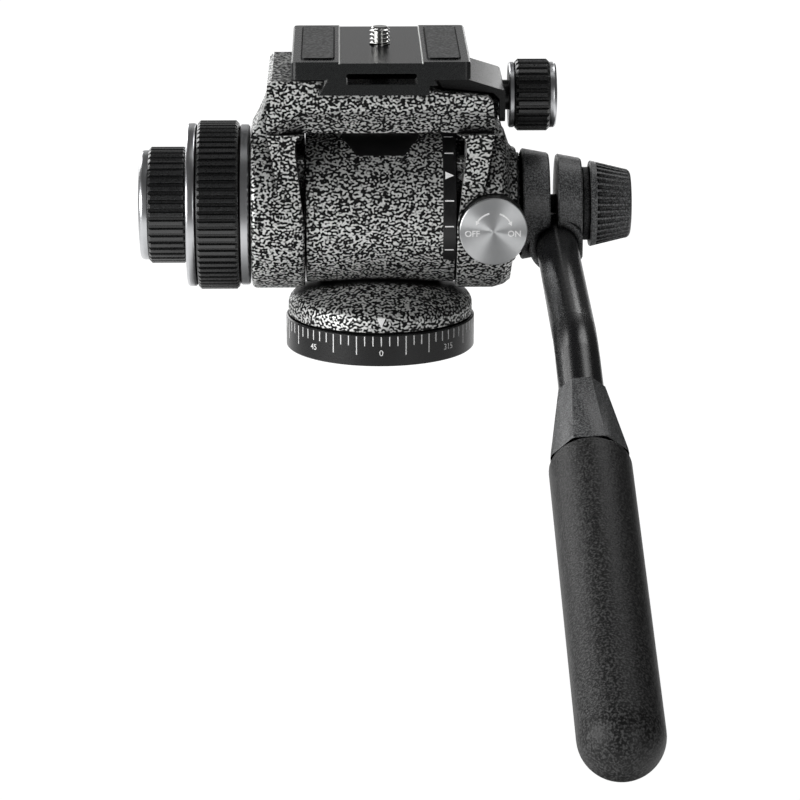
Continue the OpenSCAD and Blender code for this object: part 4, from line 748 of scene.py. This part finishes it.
# The room round the paper: white to the camera, and nearly dark to the object.
room_light = 0.07
world = bpy.data.worlds.new("white_tent")
bpy.context.scene.world = world
world.use_nodes = True
tree = world.node_tree
sky = tree.nodes["Background"]
way = add(tree, "ShaderNodeLightPath").outputs
seen = add(tree, "ShaderNodeMath", {0: way["Is Camera Ray"], 1: way["Is Transmission Ray"]},
           operation="MAXIMUM")
level = add(tree, "ShaderNodeMapRange", {"Value": seen.outputs[0], "To Min": room_light, "To Max": 1.0})
tree.links.new(level.outputs["Result"], sky.inputs["Strength"])
sky.inputs["Color"].default_value = (1, 1, 1, 1)


def soft_light(name, place, aim, size, watts):
    """A rectangular lamp at a place in mm that looks at aim. size is its width and height in mm."""
    lamp = bpy.data.lights.new(name, "AREA")
    lamp.shape, lamp.size, lamp.size_y, lamp.energy = "RECTANGLE", size[0] / 1000, size[1] / 1000, watts
    made = bpy.data.objects.new(name, lamp)
    bpy.context.collection.objects.link(made)
    back = np.subtract(place, aim).astype(float)
    back /= np.linalg.norm(back)
    side = np.cross([0, 0, 1], back) if abs(back[2]) < 0.99 else np.array([1.0, 0, 0])
    side /= np.linalg.norm(side)
    up = np.cross(back, side)
    turn = Matrix(np.stack([side, up, back], 1).tolist()).to_4x4()
    made.matrix_world = Matrix.Translation(np.multiply(place, 0.001).tolist()) @ turn


middle = (0, 0, 45)
soft_light("key_left", (-776, -542, 197), middle, (700, 506), 7.9)
soft_light("key_right", (398, -797, 187), middle, (220, 487), 0.9)
soft_light("side_left", (-858, -150, 157), middle, (300, 426), 0.68)
soft_light("strip_back_left", (-610, 613, 511), middle, (300, 700), 3.0)
soft_light("panel_back_right", (360, 410, 760), middle, (250, 400), 1.26)
soft_light("strip_above", (300, -20, 900), (300, -20, 0), (700, 240), 0.4)
soft_light("panel_behind", (-450, 1400, 420), (-450, 0, 300), (1700, 1000), 1.9)
soft_light("panel_behind_left", (-537, 1200, 270), middle, (430, 480), 1.9)
soft_light("panel_behind_right", (290, 1200, 290), middle, (150, 480), 0.55)

eye = bpy.data.cameras.new("camera")
eye.sensor_width, eye.lens = 36, 162
eye.clip_start, eye.clip_end = 0.05, 20
camera = bpy.data.objects.new("camera", eye)
bpy.context.collection.objects.link(camera)
pitch, yaw = math.radians(15.45), math.radians(-0.95)
camera.rotation_euler = (math.pi / 2 - pitch, 0, yaw)
camera.location = (-0.01221, -1.11812, 0.28991)
bpy.context.scene.camera = camera
bpy.context.scene.view_settings.view_transform = "Standard"
